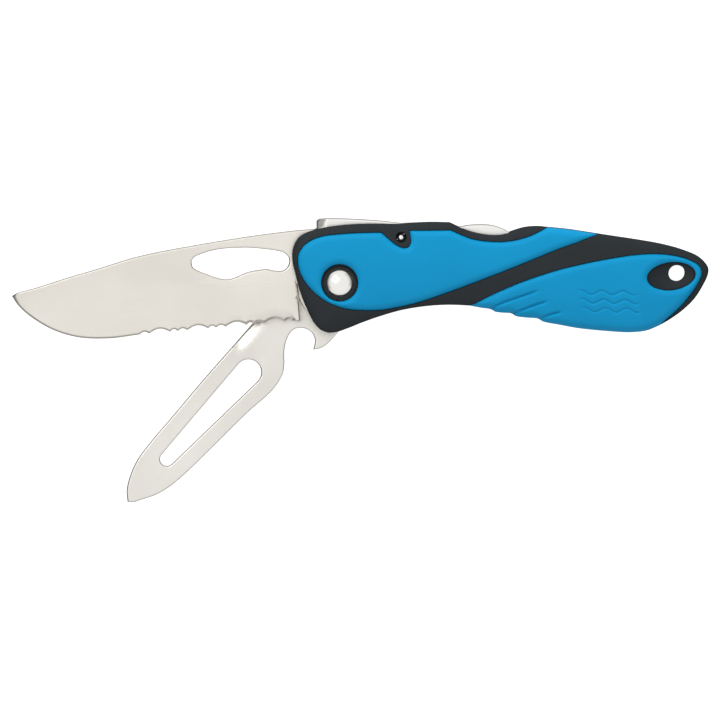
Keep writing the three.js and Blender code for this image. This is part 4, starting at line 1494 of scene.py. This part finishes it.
@dataclass(frozen=True)
class Studio:
    """A light table with soft lights and a camera straight above the knife; lengths are metres here."""

    view_width: float = 0.1908
    aim: Triple = (0.00005, 0.0001, 0.0115)  # point in the middle of the view
    lean: Pair = (1.0, 1.2)  # the camera leans towards the tip and the spine, in degrees
    camera_distance: float = 0.8
    camera_range: Pair = (0.01, 10.0)
    table_half: float = 2.0
    table_gap: float = 0.0002  # the table lies this far below the knife, so that their faces don't mix
    zenith: float = 0.98  # brightness overhead
    dim_horizon: float = 0.12  # brightness low down beyond the tip and the tail
    bright_horizon: float = 0.85  # brightness low down on the sides of the spine and the edge
    dark_ground: float = 0.06  # brightness below the horizon on the side of the edge
    pale_ground: float = 0.45  # and on the side of the spine
    edge_way: Triple = (0.15, -1.0, 0.0)  # roughly where the cutting edge looks
    spine_way: Triple = (0.5, 0.87, 0.0)  # roughly where the spine looks
    dim_shift: float = 0.12  # turns the dim parts of the horizon a little towards the spine
    dim_fade: Pair = (0.4, 0.62)  # from the dim to the bright parts, as a share of the way round
    zenith_fade: Pair = (0.35, 0.72)  # from the horizon's brightness to the zenith's, as a height
    ground_fade: Pair = (-0.15, 0.05)  # from the ground's to the horizon's
    pale_fade: Pair = (-0.2, 0.7)  # from the dark to the pale side of the ground

    def table(self) -> None:
        """An opal acrylic sheet, lit from below, so that what lies on it throws hardly any shadow.

        Steel doesn't mirror it: the knife's rounded edges then read as thin dark lines, as over black cards.
        """
        half = self.table_half
        corners = [(-half, -half, 0), (half, -half, 0), (half, half, 0), (-half, half, 0)]
        mesh = bpy.data.meshes.new("light_table")
        mesh.from_pydata(corners, [], [(0, 1, 2, 3)])
        material = bpy.data.materials.new("opal_acrylic")
        material.use_nodes = True
        tree = material.node_tree
        tree.nodes.clear()
        shader = add_node(tree, "ShaderNodeBsdfPrincipled", {
            "Base Color": linear("#8c8c8b"), "Roughness": 0.6, "Specular IOR Level": 0.2,
            "Emission Color": linear("#ffffff"), "Emission Strength": 1.0,
        })
        add_node(tree, "ShaderNodeOutputMaterial", {"Surface": shader.outputs[0]})
        mesh.materials.append(material)
        floor = bpy.data.objects.new("light_table", mesh)
        floor.location.z = -self.table_gap
        floor.visible_glossy = False
        bpy.context.scene.collection.objects.link(floor)

    def world(self) -> None:
        """A white dome that dims towards the horizon beyond the tip and the tail, and is dark below."""
        world = bpy.data.worlds.new("soft_dome")
        world.use_nodes = True
        tree = world.node_tree
        tree.nodes.clear()
        direction = add_node(tree, "ShaderNodeTexCoord").outputs["Generated"]
        height = add_node(tree, "ShaderNodeSeparateXYZ", {0: direction}).outputs["Z"]
        to_edge, to_spine = (
            add_node(tree, "ShaderNodeVectorMath", {
                0: direction, 1: way,
            }, operation="DOT_PRODUCT").outputs["Value"]
            for way in (self.edge_way, self.spine_way)
        )
        shifted = add_node(tree, "ShaderNodeMath", {
            0: to_edge, 1: self.dim_shift,
        }, operation="ADD").outputs[0]
        either = add_node(tree, "ShaderNodeMath", {0: shifted}, operation="ABSOLUTE").outputs[0]
        low = add_node(tree, "ShaderNodeMapRange", {
            0: either, 1: self.dim_fade[0], 2: self.dim_fade[1], 3: self.dim_horizon, 4: self.bright_horizon,
        }, interpolation_type="SMOOTHSTEP").outputs[0]
        climb, rise = (
            add_node(tree, "ShaderNodeMapRange", {
                0: height, 1: start, 2: end, 3: 0.0, 4: 1.0,
            }, interpolation_type="SMOOTHSTEP").outputs[0]
            for start, end in (self.zenith_fade, self.ground_fade)
        )
        above = add_node(tree, "ShaderNodeMix", {0: climb, 2: low, 3: self.zenith}).outputs[0]
        below = add_node(tree, "ShaderNodeMapRange", {
            0: to_spine, 1: self.pale_fade[0], 2: self.pale_fade[1], 3: self.dark_ground, 4: self.pale_ground,
        }).outputs[0]
        strength = add_node(tree, "ShaderNodeMix", {0: rise, 2: below, 3: above}).outputs[0]
        dome = add_node(tree, "ShaderNodeBackground", {"Color": linear("#ffffff"), "Strength": strength})
        add_node(tree, "ShaderNodeOutputWorld", {"Surface": dome.outputs[0]})
        bpy.context.scene.world = world

    def light(self, name: str, place: Triple, size: float, power: float, mirrored: bool) -> None:
        """A square soft light that faces the knife.

        Args:
            name: the light's name.
            place: where it stands, in metres.
            size: its width.
            power: its power in watts.
            mirrored: whether it shows in polished faces, or only lights what it falls on.
        """
        lamp = bpy.data.lights.new(name, "AREA")
        lamp.size, lamp.energy = size, power
        holder = bpy.data.objects.new(name, lamp)
        holder.location = place
        holder.visible_glossy = mirrored
        holder.rotation_euler = (Vector(self.aim) - Vector(place)).to_track_quat("-Z", "Y").to_euler()
        bpy.context.scene.collection.objects.link(holder)

    def camera(self) -> None:
        """A long lens straight above, as good as parallel, leaning a little so that near edges show."""
        lean_x, lean_y = (math.tan(math.radians(angle)) for angle in self.lean)
        back = Vector((-lean_x, lean_y, 1)).normalized()
        right = Vector((0, 1, 0)).cross(back).normalized()
        turn = Matrix((right, back.cross(right), back)).transposed()
        lens = bpy.data.cameras.new("camera")
        lens.type, lens.ortho_scale = "ORTHO", self.view_width
        lens.clip_start, lens.clip_end = self.camera_range
        holder = bpy.data.objects.new("camera", lens)
        stand = Vector(self.aim) + back * self.camera_distance
        holder.matrix_world = Matrix.Translation(stand) @ turn.to_4x4()
        bpy.context.scene.collection.objects.link(holder)
        bpy.context.scene.camera = holder

    def build(self) -> None:
        """Sets the table, the lights and the camera."""
        self.table()
        self.world()
        self.light("spine_light", (-0.1, 0.6, 0.4), 0.5, 5.5, mirrored=False)
        self.light("window", (-0.24, 0.22, 0.62), 0.34, 0.46, mirrored=True)
        self.camera()
        bpy.context.scene.view_settings.view_transform = "Standard"
        log.info("studio ready")


def main() -> None:
    """Builds the studio and the knife, piece by piece."""
    logging.basicConfig(level=logging.INFO, format="%(message)s")
    Studio().build()
    Handle().build()
    Pivot().build()
    Lock().build()
    Blade().build()
    ShackleKey().build()


if __name__ == "__main__":
    main()
